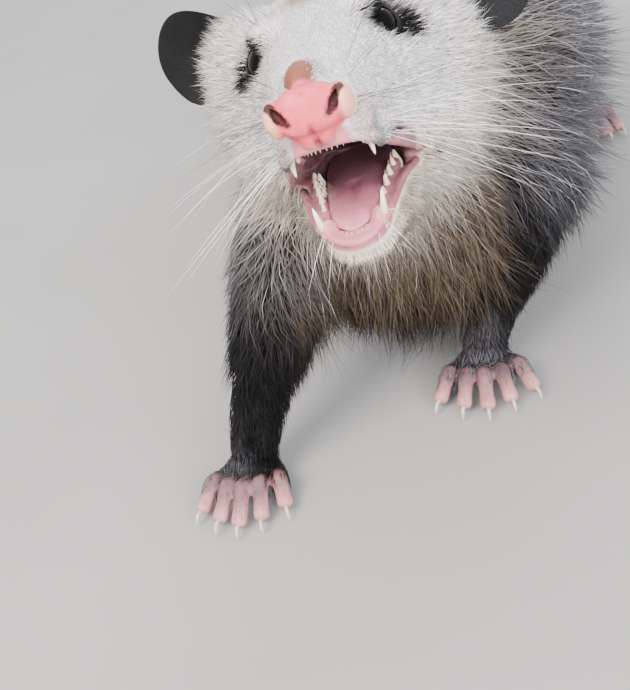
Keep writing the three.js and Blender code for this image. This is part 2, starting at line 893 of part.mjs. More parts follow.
const grownEars = Object.values(earHolds).map((hold) => ear(hold, GAP));
const headShape = joined([skull(GAP), jawbone(GAP), ...grownEars]);

for (const [name, plan] of Object.entries(footPlans)) {
  solids[name] = foot(plan);
}

for (const plan of tailLengths) {
  solids[plan.name] = tailLength(plan);
}

// How far a place lies ahead of the parting between neck and torso
const partingNormal = new THREE.Vector3(0, -1, 0).applyAxisAngle(ACROSS, -degrees(PARTING_SLANT));

function aheadOfParting(place) {
  return place.clone().sub(PARTING_POINT).dot(partingNormal);
}

// Whether a small ball at a place is clear of a solid
function clearOf(place, radius, solid) {
  return solidOf(ballAt(place, radius, undefined, 6, 4)).intersect(solid).isEmpty();
}

// The locks whose roots are clear of a solid
function rootedClear(coat, solid) {
  const rooted = [];
  for (const plan of lockPlans(coat.surface, coat)) {
    const root = coat.surface.point(plan.distance, plan.angle);
    if (clearOf(root, ROOT_CLEARANCE, solid)) {
      rooted.push({ surface: coat.surface, plan, root });
    }
  }
  return rooted;
}

function locksOf(list, grow = 0) {
  return list.map((one) => lock(one.surface, one.plan, grow));
}

const wool = underfur();

// Legs: the long coat of the body runs out in smaller locks on upper arm and thigh
const UPPER_ARM_LOCKS_FROM = 26;
const UPPER_ARM_LOCKS_TO = 46;
const THIGH_LOCKS_FROM = 12;
const THIGH_LOCKS_TO = 30;

const grownLegs = [];
for (const [name, surfaces] of Object.entries(limbSurfaces)) {
  const left = name.endsWith("left");
  const hind = name.startsWith("hind");
  const outside = left ? 0 : Math.PI;
  const coat = {
    surface: surfaces[0],
    from: hind ? THIGH_LOCKS_FROM : UPPER_ARM_LOCKS_FROM,
    to: hind ? THIGH_LOCKS_TO : UPPER_ARM_LOCKS_TO,
    firstAngle: outside - 0.55 * Math.PI,
    lastAngle: outside + 0.55 * Math.PI,
    droop: 0,
    size: LEG_LOCK_SIZE,
    bends: 2,
    rise: LEG_COAT_DEPTH,
    seed: COAT_SEED + grownLegs.length,
  };
  const locks = rootedClear(coat, wool);
  const pad = foot({ ...footPlans[name.replace("leg", "foot")], grow: GAP });
  const whole = joined([leg(name), ...locksOf(locks)]);
  solids[name] = largest(trimmedAtFloor(whole).subtract(pad).subtract(headShape));
  grownLegs.push(joined([leg(name, GAP), ...locksOf(locks, LOCK_GAP)]));
}

const tailRoot = tailLength(tailLengths[0], GAP);
const others = joined([headShape, ...grownLegs, tailRoot]);

// The coat of the trunk all round, and the shorter coat that hangs from the breast
const coats = [
  {
    surface: trunkSurface,
    from: 22,
    to: trunkSurface.length - 24,
    firstAngle: -0.5 * Math.PI,
    lastAngle: 1.5 * Math.PI,
    droop: 12,
    seed: COAT_SEED,
  },
  {
    surface: breastSurface,
    from: 12,
    to: breastSurface.length - 14,
    firstAngle: Math.PI,
    lastAngle: 1.9 * Math.PI,
    droop: 0,
    size: BREAST_LOCK_SIZE,
    rowGap: 13,
    seed: COAT_SEED + 1,
  },
];

const rooted = coats.flatMap((coat) => rootedClear(coat, others));
const neckLocks = rooted.filter((one) => aheadOfParting(one.root) > NECK_ROOT_LEAD);
const torsoLocks = rooted.filter((one) => aheadOfParting(one.root) < -TORSO_ROOT_LAG);

const neckHalf = wool.intersect(partingBlock(true, 0));
const torsoHalf = wool.intersect(partingBlock(false, GAP));
const grownNeckLocks = joined(locksOf(neckLocks, LOCK_GAP));
solids.neck = largest(joined([neckHalf, ...locksOf(neckLocks)]).subtract(others));
solids.torso = largest(
  joined([torsoHalf, ...locksOf(torsoLocks)]).subtract(others).subtract(grownNeckLocks),
);

// Materials: the colour, roughness and metalness of each kind of surface

const finishes = {
  pale_fur: { color: 0xe6ddd0, roughness: 0.85 },
  grey_fur: { color: 0x77706a, roughness: 0.85 },
  black_fur: { color: 0x1c1a1b, roughness: 0.8 },
  pink_skin: { color: 0xd9a5a0, roughness: 0.5 },
  black_skin: { color: 0x17151a, roughness: 0.5 },
  tail_skin: { color: 0xbfa59a, roughness: 0.6 },
  wet_tongue: { color: 0xb9737c, roughness: 0.3 },
  wet_eye: { color: 0x08070a, roughness: 0.08 },
};

const finishOfNode = {
  head: "pale_fur",
  lower_jaw: "pale_fur",
  neck: "grey_fur",
  torso: "grey_fur",
  nose: "pink_skin",
  tongue: "wet_tongue",
  eye_left: "wet_eye",
  eye_right: "wet_eye",
  ear_left: "black_skin",
  ear_right: "black_skin",
  fore_leg_left: "black_fur",
  fore_leg_right: "black_fur",
  hind_leg_left: "black_fur",
  hind_leg_right: "black_fur",
  fore_foot_left: "pink_skin",
  fore_foot_right: "pink_skin",
  hind_foot_left: "pink_skin",
  hind_foot_right: "pink_skin",
  tail_base: "black_skin",
  tail_middle: "tail_skin",
  tail_end: "tail_skin",
};

// The whole animal, moved so that the origin is the middle of its footprint

const opossum = new THREE.Group();
const extent = new THREE.Box3();
for (const [name, solid] of Object.entries(solids)) {
  const geometry = geometryOf(solid);
  geometry.computeBoundingBox();
  extent.union(geometry.boundingBox);
  const finish = finishes[finishOfNode[name]];
  const mesh = new THREE.Mesh(
    geometry,
    new THREE.MeshStandardMaterial({ ...finish, metalness: 0, flatShading: true }),
  );
  mesh.name = name;
  opossum.add(mesh);
}
const middle = extent.getCenter(new THREE.Vector3());
opossum.position.set(-middle.x, -middle.y, 0);

export default opossum;
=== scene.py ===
# %% [markdown]
# # An opossum with its mouth wide open
#
# The lesson dresses a imported model of a Virginia opossum: skin, eyes, teeth, a coat in tufts,
# whiskers, claws and a scaly tail. The imported solids hold the shape, the size and the place
# of each part. Here they only tell where things go, and finer pieces are shown in their place.
#
# The first cell loads the solids. The finished animal has to stay inside it, apart from a few
# millimetres of loose hair.

# %% Load the frame
import math

import bmesh
import bpy
import numpy as np
from mathutils import Matrix, Vector
from mathutils.bvhtree import BVHTree
from mathutils.kdtree import KDTree


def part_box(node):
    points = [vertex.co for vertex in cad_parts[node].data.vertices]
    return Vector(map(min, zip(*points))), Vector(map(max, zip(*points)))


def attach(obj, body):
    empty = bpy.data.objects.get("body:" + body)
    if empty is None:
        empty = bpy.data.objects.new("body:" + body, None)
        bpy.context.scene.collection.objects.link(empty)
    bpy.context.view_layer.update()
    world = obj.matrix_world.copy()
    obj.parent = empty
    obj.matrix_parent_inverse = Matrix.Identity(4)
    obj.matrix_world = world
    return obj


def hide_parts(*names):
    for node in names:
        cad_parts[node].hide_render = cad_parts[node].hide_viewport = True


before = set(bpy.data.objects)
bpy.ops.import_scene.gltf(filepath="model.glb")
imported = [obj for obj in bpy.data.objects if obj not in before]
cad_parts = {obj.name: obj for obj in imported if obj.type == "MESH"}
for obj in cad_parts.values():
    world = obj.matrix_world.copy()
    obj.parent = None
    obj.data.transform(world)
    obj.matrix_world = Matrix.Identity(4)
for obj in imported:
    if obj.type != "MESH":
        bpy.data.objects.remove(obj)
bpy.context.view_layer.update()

# %% [markdown]
# ## Drawing axes
#
# A face is easiest to model straight, looking ahead, and in millimetres. So each head piece is
# drawn in the head's own axes: x to the animal's left, y back towards the neck, z up, from the
# point between the eyes. One matrix then turns it as the animal holds its head. The rest is
# drawn in the body's axes, also in millimetres, and a last matrix takes everything to the
# frame, in metres. Its shift is measured on the two eyes of the frame.

# %% Place the head and the whole drawing
EYES_MIDDLE = Vector((60.4, 83.8, 142.8))
HEAD_TURN = math.radians(2.3)
HEAD_LIFT = math.radians(14.9)
HEAD_TILT = math.radians(5.5)
JAW_GAPE = math.radians(16.5)
JAW_HINGE = Vector((0, 29, -13))
EYE_SPACING = 31.6
EYE_AHEAD = 1.9
EYE_DROP = 2.3
EYE_RADIUS = 6.4
MILLIMETRE = 0.001

head_turn = (
    Matrix.Rotation(HEAD_TURN, 4, "Z")
    @ Matrix.Rotation(-HEAD_LIFT, 4, "X")
    @ Matrix.Rotation(-HEAD_TILT, 4, "Y")
)
head_place = Matrix.Translation(EYES_MIDDLE) @ head_turn


def gape(angle):
    """Turns about the hinge of the jaw, in the head's axes."""
    return (
        Matrix.Translation(JAW_HINGE)
        @ Matrix.Rotation(angle, 4, "X")
        @ Matrix.Translation(-JAW_HINGE)
    )


jaw_place = gape(JAW_GAPE)
eye_corners = [corner for name in ("eye_left", "eye_right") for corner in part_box(name)]
eyes_in_frame = sum(eye_corners, Vector()) / len(eye_corners)
eyes_as_drawn = head_place @ Vector((0, -EYE_AHEAD, -EYE_DROP))
to_frame = (
    Matrix.Translation(eyes_in_frame)
    @ Matrix.Scale(MILLIMETRE, 4)
    @ Matrix.Translation(-eyes_as_drawn)
)
print("shift of the drawing in metres", to_frame.translation[:])

# %% [markdown]
# ## Camera, floor and light
#
# The photo looks down on the animal by about thirty degrees from a third of a metre away.
# The camera's place and its three axes were worked out once from things of known size, so
# they are written here as a real place and real directions. The floor is plain and pale.
# Three large soft lamps and a bright sky give the mild light of an overcast day, in which
# white fur keeps its shape and black fur still shows its hairs.

# %% Set the camera
CAMERA_PLACE = Vector((110.87, -199.55, 225.3))
CAMERA_RIGHT = Vector((0.96564, 0.10883, -0.23600))
CAMERA_DOWN = Vector((-0.13320, -0.57247, -0.80903))
CAMERA_AHEAD = Vector((-0.22315, 0.81267, -0.53831))
LENS = 51.54
SENSOR_WIDTH = 36.0
NEAREST_VIEW = 0.01

axes = Matrix((CAMERA_RIGHT, -CAMERA_DOWN, -CAMERA_AHEAD)).transposed().to_4x4()
camera = bpy.data.objects.new("camera", bpy.data.cameras.new("camera"))
camera.data.lens = LENS
camera.data.sensor_width = SENSOR_WIDTH
camera.data.clip_start = NEAREST_VIEW
bpy.context.scene.collection.objects.link(camera)
camera.matrix_world = Matrix.Translation(to_frame @ CAMERA_PLACE) @ axes
bpy.context.scene.camera = camera
print("camera at", camera.location[:])

# %% Functions for colours and nodes


def linear(code):
    """An sRGB colour such as 'e6ddd0' as linear red, green, blue and full opacity."""
    parts = [int(code[i : i + 2], 16) / 255 for i in (0, 2, 4)]
    return tuple(p / 12.92 if p < 0.04045 else ((p + 0.055) / 1.055) ** 2.4 for p in parts) + (1.0,)


def material(name):
    """A new material with its node tree, and its shader."""
    made = bpy.data.materials.new(name)
    made.use_nodes = True
    return made, made.node_tree, made.node_tree.nodes["Principled BSDF"]


def fill(tree, made, **links):
    """Fills a node's sockets, each by a value or from another socket; i3 is input number 3."""
    for socket, value in links.items():
        target = made.inputs[int(socket[1:]) if socket[1:].isdigit() else socket.replace("_", " ")]
        if isinstance(value, bpy.types.NodeSocket):
            tree.links.new(value, target)
        else:
            target.default_value = value
    return made


def node(tree, kind, settings=None, stops=(), **links):
    """Adds a node. Settings fill its fields, stops its ramp of colours, and links its sockets."""
    made = tree.nodes.new(kind)
    for field, value in (settings or {}).items():
        setattr(made, field, value)
    for index, (position, code) in enumerate(stops):
        made.color_ramp.elements[index].position = position
        made.color_ramp.elements[index].color = linear(code)
    return fill(tree, made, **links)


# %% Lay the floor and hang the lamps
FLOOR_SIZE = 6.0

floor_bm = bmesh.new()
bmesh.ops.create_grid(floor_bm, x_segments=2, y_segments=2, size=FLOOR_SIZE / 2)
floor_mesh = bpy.data.meshes.new("floor")
floor_bm.to_mesh(floor_mesh)
floor_bm.free()
floor = bpy.data.objects.new("floor", floor_mesh)
bpy.context.scene.collection.objects.link(floor)

# Matt painted board: pale, without gloss, with the faintest unevenness
board, board_tree, board_shader = material("pale_board")
board_speck = node(board_tree, "ShaderNodeTexNoise", Scale=40.0).outputs["Fac"]
board_stops = ((0.3, "8b8986"), (0.7, "918f8c"))
board_colour = node(board_tree, "ShaderNodeValToRGB", stops=board_stops, Fac=board_speck)
fill(board_tree, board_shader, Base_Color=board_colour.outputs["Color"], Roughness=0.9)
floor.data.materials.append(board)


def lamp(name, place, target, size, power, colour):
    """A square soft lamp at a place, turned to a target."""
    light = bpy.data.lights.new(name, "AREA")
    light.size = size
    light.energy = power
    light.color = linear(colour)[:3]
    made = bpy.data.objects.new(name, light)
    made.location = place
    made.rotation_euler = (Vector(target) - Vector(place)).to_track_quat("-Z", "Y").to_euler()
    bpy.context.scene.collection.objects.link(made)
    return made


lamp("key_lamp", (-0.7, -1.3, 1.5), (0, -0.25, 0.1), 1.1, 84, "fff8f2")
lamp("fill_lamp", (0.9, -1.5, 0.6), (0, -0.1, 0.1), 1.2, 74, "f6f6ff")
lamp("rim_lamp", (0.3, 1.5, 1.4), (0, 0.1, 0.1), 1.0, 34, "f4f6ff")
sky = bpy.data.worlds.new("sky")
sky.use_nodes = True
fill(sky.node_tree, sky.node_tree.nodes["Background"], Color=linear("e4e8ee"), Strength=2.0)
bpy.context.scene.world = sky
print("floor, three lamps and a sky")

# %% [markdown]
# ## Bodies along a line
#
# Skull, jaw, trunk, legs, toes and tail are all thick lines: they have a middle line and, at
# a few stations on it, a width and a height. A ball from bmesh is a good start for each. Its
# rings are set along the line and widened as the stations say, which keeps it closed.
# Skinned edges or metaballs could do the same, but they don't hold a measured width.

# %% Sweep a ball along stations


def through(rows, t):
    """A smooth line through the rows of an array; t counts the rows from 0."""
    rows = np.asarray(rows, float)
    ends = np.vstack([2 * rows[0] - rows[1], rows, 2 * rows[-1] - rows[-2]])
    t = np.clip(t, 0, len(rows) - 1)
    first = np.minimum(t.astype(int), len(rows) - 2)
    s = (t - first)[:, None]
    a, b, c, d = (ends[first + step] for step in range(4))
    return b + 0.5 * s * (c - a + s * (2 * a - 5 * b + 4 * c - d + s * (3 * (b - c) + d - a)))


def unit(vectors):
    """Vectors of length 1, row by row."""
    return vectors / np.maximum(np.linalg.norm(vectors, axis=1, keepdims=True), 1e-9)


def rings_of(stations, t, across=(1.0, 0.0, 0.0)):
    """Centre, side, up, direction and reaches of the sections at t."""
    here = through(stations, t)
    step = 0.02
    ahead = through(stations, t + step)[:, :3] - through(stations, t - step)[:, :3]
    tangent = unit(ahead)
    across = np.asarray(across, float)
    side = unit(across - (tangent @ across)[:, None] * tangent)
    return here[:, :3], side, np.cross(side, tangent), tangent, here[:, 3:]


def swept(bm, stations, sides=24, rings=32, fullness=1.0, round_ends=(6.0, 6.0), across=(1, 0, 0)):
    """Adds a closed body: each station is x, y, z, half a width, reach above, reach below."""
    made = bmesh.ops.create_uvsphere(bm, u_segments=sides, v_segments=rings, radius=1)["verts"]
    ball = np.array([v.co for v in made])
    t = np.arccos(np.clip(ball[:, 2], -1, 1)) / math.pi * (len(stations) - 1)
    turn = np.arctan2(ball[:, 1], ball[:, 0])
    centre, side, up, _, reach = rings_of(stations, t, across)
    ends = through(stations, np.array([0.0, len(stations) - 1.0]))[:, :3]
    scale = np.ones(len(made))
    for end, rounding in zip(ends, round_ends):
        away = np.linalg.norm(centre - end, axis=1)
        scale *= np.sqrt(1 - (1 - np.clip(away / rounding, 0, 1)) ** 2)
    cosine, sine = np.cos(turn), np.sin(turn)
    high = np.where(sine > 0, reach[:, 1], reach[:, 2])
    wide = reach[:, 0] * scale * np.sign(cosine) * np.abs(cosine) ** fullness
    high = high * scale * np.sign(sine) * np.abs(sine) ** fullness
    places = centre + wide[:, None] * side + high[:, None] * up
    for vertex, place in zip(made, places):
        vertex.co = place
    return made


def ball(bm, centre, reach, sides=20, rings=14):
    """Adds an oval ball with its three reaches."""
    made = bmesh.ops.create_uvsphere(bm, u_segments=sides, v_segments=rings, radius=1)["verts"]
    bmesh.ops.scale(bm, vec=reach, verts=made)
    bmesh.ops.translate(bm, vec=centre, verts=made)
    return made


def place_verts(bm, verts, matrix):
    """Moves some of a bmesh's vertices by a matrix."""
    bmesh.ops.transform(bm, matrix=matrix, verts=verts)


def object_of(bm, name):
    """Makes the bmesh an object in the scene, its faces pointing out."""
    bmesh.ops.recalc_face_normals(bm, faces=bm.faces)
    mesh = bpy.data.meshes.new(name)
    bm.to_mesh(mesh)
    bm.free()
    made = bpy.data.objects.new(name, mesh)
    bpy.context.scene.collection.objects.link(made)
    return made


def finished(thing, *modifiers):
    """Applies modifiers, each a kind and its settings, and keeps only the mesh they leave."""
    for kind, settings in modifiers:
        modifier = thing.modifiers.new(kind.lower(), kind)
        for field, value in settings.items():
            setattr(modifier, field, value)
    graph = bpy.context.evaluated_depsgraph_get()
    mesh = bpy.data.meshes.new_from_object(thing.evaluated_get(graph))
    thing.modifiers.clear()
    old = thing.data
    thing.data = mesh
    bpy.data.meshes.remove(old)
    return thing


def joined_with(thing, other, operation):
    """Joins or cuts a closed mesh with another, which is then removed."""
    settings = {"operation": operation, "object": other, "solver": "MANIFOLD"}
    finished(thing, ("BOOLEAN", settings))
    bpy.data.objects.remove(other)
    return thing


# %% [markdown]
# ## The head's skin
#
# Under its fur the head is a long cone: a thin muzzle, a low forehead, broad cheek bones and
# heavy jaw muscles, with a slim jaw hanging open below. It is put together from overlapping
# bodies, as a sculptor adds clay, and a voxel remesh melts them into a single closed skin.
# Then the mouth's hollow and the eye sockets are cut, lips and gums are added as thin rolls
# and the nose pad as a body of its own, and a finer remesh makes all their rims soft.

# %% Skull, jaw and the muscles of the head
skull_line = [
    (0, -59.5, -17, 7.6, 6.4, 5.6),
    (0, -48, -18, 10.9, 11, 7),
    (0, -32, -17, 13.6, 15.5, 9),
    (0, -14, -16, 18.0, 20.5, 11),
    (0, 3, -15, 27.0, 25, 16),
    (0, 20, -15, 36.5, 28, 22),
    (0, 38, -13, 37.0, 25, 23),
    (0, 54, -12, 28.0, 19, 18),
    (0, 84, -20, 26.0, 22, 24),
]
jaw_line = [
    (0, -55, -29.2, 4.6, 2.2, 3.6),
    (0, -47, -29.4, 8.8, 3.2, 6),
    (0, -30, -30.6, 11.8, 4, 9.6),
    (0, -10, -33.5, 16.6, 4.5, 11.5),
    (0, 10, -38, 21.0, 7, 12),
    (0, 26, -40, 21.0, 8, 10),
]
cheek_line = [
    (10.5, -22, -25, 3.5, 5, 5),
    (15.5, -7, -27, 7.0, 9.5, 8),
    (20.0, 10, -29, 10.5, 13.5, 12),
    (21.5, 26, -30, 11.0, 15, 13),
    (19.0, 40, -30, 9.5, 12, 12),
]
HEAD_FULLNESS = 0.85


def head_flesh():
    """The skull, jaw, neck and muscles, in the head's axes."""
    bm = bmesh.new()
    swept(bm, skull_line, fullness=HEAD_FULLNESS, round_ends=(7, 20), sides=32, rings=40)
    jaw = swept(bm, jaw_line, fullness=HEAD_FULLNESS, round_ends=(6, 12), sides=28, rings=28)
    place_verts(bm, jaw, jaw_place)
    for side in (-1, 1):
        cheek = [(side * x, *rest) for x, *rest in cheek_line]
        swept(bm, cheek, sides=28, rings=32, round_ends=(5, 10))
        ball(bm, (side * 12.5, -2, 4), (8, 10, 5))
        ball(bm, (side * 7.4, -41, -20.2), (5.7, 14, 6.6))
        ball(bm, (side * 27, 29, 1), (10.5, 15, 12))
    ball(bm, (-0.6, -46.5, -7.4), (5.0, 10, 4.6))
    return object_of(bm, "head_flesh")


head_skin = head_flesh()
print("head drawn with", len(head_skin.data.vertices), "vertices")

# %% [markdown]
# The mouth's hollow is three swept bodies melted into one: the arch of the palate, the trough
# that the tongue lies in, and the gap between them, which is turned by half the gape. It is
# narrow between the canines and wide further back, and its rear end sinks into a dark throat.
# The lips follow its edge: an upper roll on the muzzle and a lower one on the jaw, which meet
# in the stretched corners.

# %% Draw the lines of the mouth
mouth_line = [
    (0, -72, -28, 8.5, 12, 10),
    (0, -52, -27, 8.4, 9.4, 8.0),
    (0, -36, -27, 10.2, 8.4, 7.6),
    (0, -18, -27, 13.6, 7.4, 7.0),
    (0, -2, -26, 15.0, 6.2, 6.4),
    (0, 13, -25, 10.5, 5.4, 5.6),
    (0, 30, -26, 6.0, 4.0, 4.4),
]
palate_line = [
    (0, -56.5, -25, 4.6, 2.6, 4),
    (0, -47, -25, 9.0, 3.0, 5),
    (0, -33, -25.5, 11.4, 3.6, 5),
    (0, -18, -26.5, 14.2, 3.8, 5),
    (0, -4, -27.5, 14.2, 4, 5),
    (0, 10, -27.5, 10, 3, 5),
]
trough_line = [
    (0, -51.5, -26.4, 3.2, 3, 1.8),
    (0, -45, -26.6, 6.6, 5, 3),
    (0, -30, -28.0, 9.6, 5, 5),
    (0, -10, -30.0, 13.4, 5, 6),
    (0, 6, -30.5, 12.6, 5, 6),
]
upper_lip_line = [
    (20.0, -8, -38.0),
    (18.2, -13, -35.2),
    (15.8, -22, -32.2),
    (13.8, -32, -29.6),
    (12.4, -40, -27.4),
    (10.8, -47, -25.4),
    (5.2, -54.8, -23.4),
]
lower_lip_line = [
    (17.8, -9, -30.6),
    (15.0, -22, -27.2),
    (12.4, -35, -25.6),
    (9.4, -46.5, -25.6),
    (3.4, -53.0, -27.6),
]
print("the lips have", len(upper_lip_line), "and", len(lower_lip_line), "places on each side")

# %% Cut the mouth


def both_sides(line):
    """A line from the left corner of the mouth round the front to the right corner."""
    return line + [(-x, y, z) for x, y, z in reversed(line)]


def roll(bm, line, radius):
    """A roll of flesh of one thickness along a line."""
    stations = [(*place, radius, radius, radius) for place in line]
    return swept(bm, stations, 10, 60, round_ends=(radius, radius), across=(0, 0, 1))


def melted(thing, voxel):
    """Melts overlapping bodies into one closed skin of small even faces."""
    return finished(thing, ("REMESH", {"mode": "VOXEL", "voxel_size": voxel}))


def mouth_hollow():
    """The arch of the palate, the trough that the tongue lies in, and the gap between them."""
    bm = bmesh.new()
    swept(bm, palate_line, sides=32, rings=40, round_ends=(4, 8))
    place_verts(bm, swept(bm, trough_line, sides=32, rings=40, round_ends=(3, 8)), jaw_place)
    between = swept(bm, mouth_line, sides=32, rings=40, round_ends=(1, 8))
    place_verts(bm, between, gape(JAW_GAPE / 2))
    return melted(object_of(bm, "mouth_hollow"), 0.7)


def smoothed(thing, times):
    """Evens out a mesh, again and again."""
    return finished(thing, ("SMOOTH", {"factor": 0.5, "iterations": times}))


smoothed(melted(head_skin, 1.0), 18)
hollow = mouth_hollow()
hollow_mesh = hollow.data.copy()
joined_with(head_skin, hollow, "DIFFERENCE")
print("the mouth's hollow has", len(hollow_mesh.polygons), "faces")

# %% Lay the lips and gums
# The rows of teeth on the left, from the canine back: to the side, and ahead
UPPER_ROW = [
    (9.5, 44.8),
    (9.8, 41.0),
    (10.3, 37.0),
    (11.0, 31.8),
    (11.9, 26.2),
    (12.9, 20.6),
    (13.8, 15.2),
]
LOWER_ROW = [
    (6.9, 47.2),
    (7.8, 41.5),
    (8.6, 36.4),
    (9.4, 31.2),
    (10.4, 25.6),
    (11.4, 20.0),
    (12.1, 14.6),
]
UPPER_GUM, UPPER_FRONT = -24.6, (4.4, -53.2, -22.2)
LOWER_GUM, LOWER_FRONT = -26.6, (3.0, -50.8, -27.4)
UPPER_LIP_ROLL, LOWER_LIP_ROLL = 1.35, 1.3
UPPER_GUM_ROLL, LOWER_GUM_ROLL = 1.7, 1.8
upper_gum_line = [(x, -ahead, UPPER_GUM) for x, ahead in reversed(UPPER_ROW)] + [UPPER_FRONT]
lower_gum_line = [(x, -ahead, LOWER_GUM) for x, ahead in reversed(LOWER_ROW)] + [LOWER_FRONT]


def flew(bm, line, side):
    """The flap of the upper lip that hangs beside the teeth."""
    stations = [(side * x * 1.01, y, z + 3.6, 4.2, 1.3, 1.3) for x, y, z in line[:-2]]
    swept(bm, stations, 14, 40, round_ends=(1, 1), across=(0, 0, 1))


def rolls_of_the_mouth():
    """Lips, and the gums that the teeth stand in."""
    bm = bmesh.new()
    roll(bm, both_sides(upper_lip_line), UPPER_LIP_ROLL)
    flew(bm, upper_lip_line, 1)
    flew(bm, upper_lip_line, -1)
    roll(bm, both_sides(upper_gum_line), UPPER_GUM_ROLL)
    below = roll(bm, both_sides(lower_lip_line), LOWER_LIP_ROLL)
    below += roll(bm, both_sides(lower_gum_line), LOWER_GUM_ROLL)
    for side in (-1, 1):
        below += ball(bm, (side * 7.2, -47.0, -25.9), (2.8, 3.1, 3.0))
    place_verts(bm, below, jaw_place)
    return object_of(bm, "rolls")


joined_with(head_skin, melted(rolls_of_the_mouth(), 0.6), "UNION")
print("lips and gums laid")

# %% [markdown]
# The nose pad is bare: a flat front with a groove down its middle, and a fuller wing on each
# side. Each nostril is a slit between the two, which runs up and back and is narrow at both
# ends. The eye lies in a round socket under a mound of flesh. An oval slit is cut through the
# mound, and its two edges are the lids.

# %% Shape the nose


def nose_pad():
    """The flat front of the nose and its two wings."""
    bm = bmesh.new()
    block = [
        (0, -63.2, -14.0, 6.4, 5.2, 5.0),
        (0, -60, -14.2, 7.8, 6.0, 5.6),
        (0, -54, -14.5, 8.2, 6.2, 6.0),
    ]
    swept(bm, block, 36, 30, fullness=0.7, round_ends=(1.8, 2))
    for side in (-1, 1):
        ball(bm, (side * 8.6, -57.4, -14.2), (2.9, 5.6, 4.8), 24, 18)
        ball(bm, (side * 2.2, -56.6, -20.2), (2.6, 4.0, 3.4), 24, 18)
    return smoothed(melted(object_of(bm, "nose_pad"), 0.4), 2)


# The left nostril, from its lower end up and back, with its radius
nostril_line = [
    (4.9, -64.3, -16.9, 0.6),
    (6.0, -63.2, -15.2, 1.0),
    (7.3, -62.0, -13.2, 1.05),
    (8.8, -60.4, -11.0, 0.5),
]
# The groove between the nostrils, down to the upper lip
groove_line = [
    (0, -63.0, -9.4),
    (0, -64.4, -12.2),
    (0, -64.4, -15.6),
    (0, -63.0, -18.8),
    (0, -60.2, -21.2),
    (0, -57.4, -23.4),
]
GROOVE = 0.7


def cuts_in_the_nose():
    """The two nostrils and the groove between them."""
    bm = bmesh.new()
    for side in (-1, 1):
        slit = [(side * x, y, z, radius, 1.2 * radius, radius) for x, y, z, radius in nostril_line]
        swept(bm, slit, 16, 24, round_ends=(0.8, 0.8))
    furrow = [(*place, GROOVE, GROOVE, GROOVE) for place in groove_line]
    swept(bm, furrow, 10, 40, round_ends=(0.5, 0.5))
    return melted(object_of(bm, "cuts_in_the_nose"), 0.25)


joined_with(head_skin, nose_pad(), "UNION")
print("nose shaped")

# %% Cut the sockets and lay the lids
LID_OPENING = 4.5
LID_SLIT = 0.6
EYE_ROOM = 0.25
LID_FACING = Vector((0.66, -0.68, 0.32))
LID_ALONG = Vector((0.56, 0.70, -0.45))


def eye_middle(side):
    """The middle of an eyeball, in the head's axes."""
    return Vector((side * EYE_SPACING / 2, -EYE_AHEAD, -EYE_DROP))


def eye_place(side):
    """Turns a form drawn facing up into an eye's place, its length along the slit of the lids."""
    facing = Vector((side * LID_FACING.x, LID_FACING.y, LID_FACING.z)).normalized()
    along = Vector((side * LID_ALONG.x, LID_ALONG.y, LID_ALONG.z))
    along = (along - along.dot(facing) * facing).normalized()
    turned = Matrix((along, facing.cross(along), facing)).transposed().to_4x4()
    return Matrix.Translation(eye_middle(side)) @ turned


def sockets():
    """The two hollows that the eyes lie in."""
    bm = bmesh.new()
    for side in (-1, 1):
        socket = ball(bm, (0, 0, 0), (EYE_RADIUS + EYE_ROOM,) * 3, 28, 20)
        place_verts(bm, socket, Matrix.Translation(eye_middle(side)))
        opening = ball(bm, (0, 0, EYE_RADIUS + 1.0), (LID_OPENING, LID_SLIT * LID_OPENING, 4.5), 28, 20)
        place_verts(bm, opening, eye_place(side))
    return melted(object_of(bm, "sockets"), 0.4)


def lid_mounds():
    """The flesh round each eye, from which the sockets are cut."""
    bm = bmesh.new()
    for side in (-1, 1):
        mound = ball(bm, (0, 0, 0.6), (8.6, 7.2, 6.0), 28, 20)
        place_verts(bm, mound, eye_place(side))
    return melted(object_of(bm, "lid_mounds"), 0.6)


joined_with(head_skin, lid_mounds(), "UNION")
joined_with(head_skin, sockets(), "DIFFERENCE")
smoothed(melted(head_skin, 0.55), 3)
print("head skin has", len(head_skin.data.polygons), "faces before it is thinned")

# %% [markdown]
# ## Trunk and legs
#
# The body under the coat is lean: a barrel of ribs, a narrow neck and thin legs. It lies
# inside the solids' underfur, so that the hair has room to stand. Its faces can be coarser
# than the head's, as the coat hides them.

# %% Draw the trunk and the legs
trunk_line = [
    (61, 108, 120, 24, 13, 24),
    (68, 138, 105, 38, 32, 43),
    (77, 175, 99, 45, 46, 50),
    (84, 235, 96, 48, 52, 49),
    (92, 300, 93, 50, 54, 46),
    (98, 350, 86, 44, 46, 40),
    (101, 392, 66, 28, 27, 26),
    (104, 422, 40, 15, 14, 14),
]
breast_line = [
    (61, 114, 96, 22, 13, 10),
    (64, 110, 76, 29, 13, 10),
    (68, 112, 56, 31, 13, 10),
    (71, 116, 41, 26, 9, 9),
]
fore_left_line = [
    (104, 150, 92, 17, 19, 19),
    (109, 142, 62, 16, 18, 18),
    (104, 130, 38, 12, 13, 13),
    (92, 116, 18, 9.0, 9.4, 9.4),
    (88, 105, 8, 8.8, 7.0, 7.0),
]
fore_right_line = [
    (42, 124, 92, 15, 17, 17),
    (30, 100, 72, 13, 15, 15),
    (20, 78, 48, 10.5, 11.5, 11.5),
    (10, 67, 22, 8.8, 9.4, 9.4),
    (6, 57, 8, 8.8, 7.0, 7.0),
]
HIPS_MIDDLE = 95.0


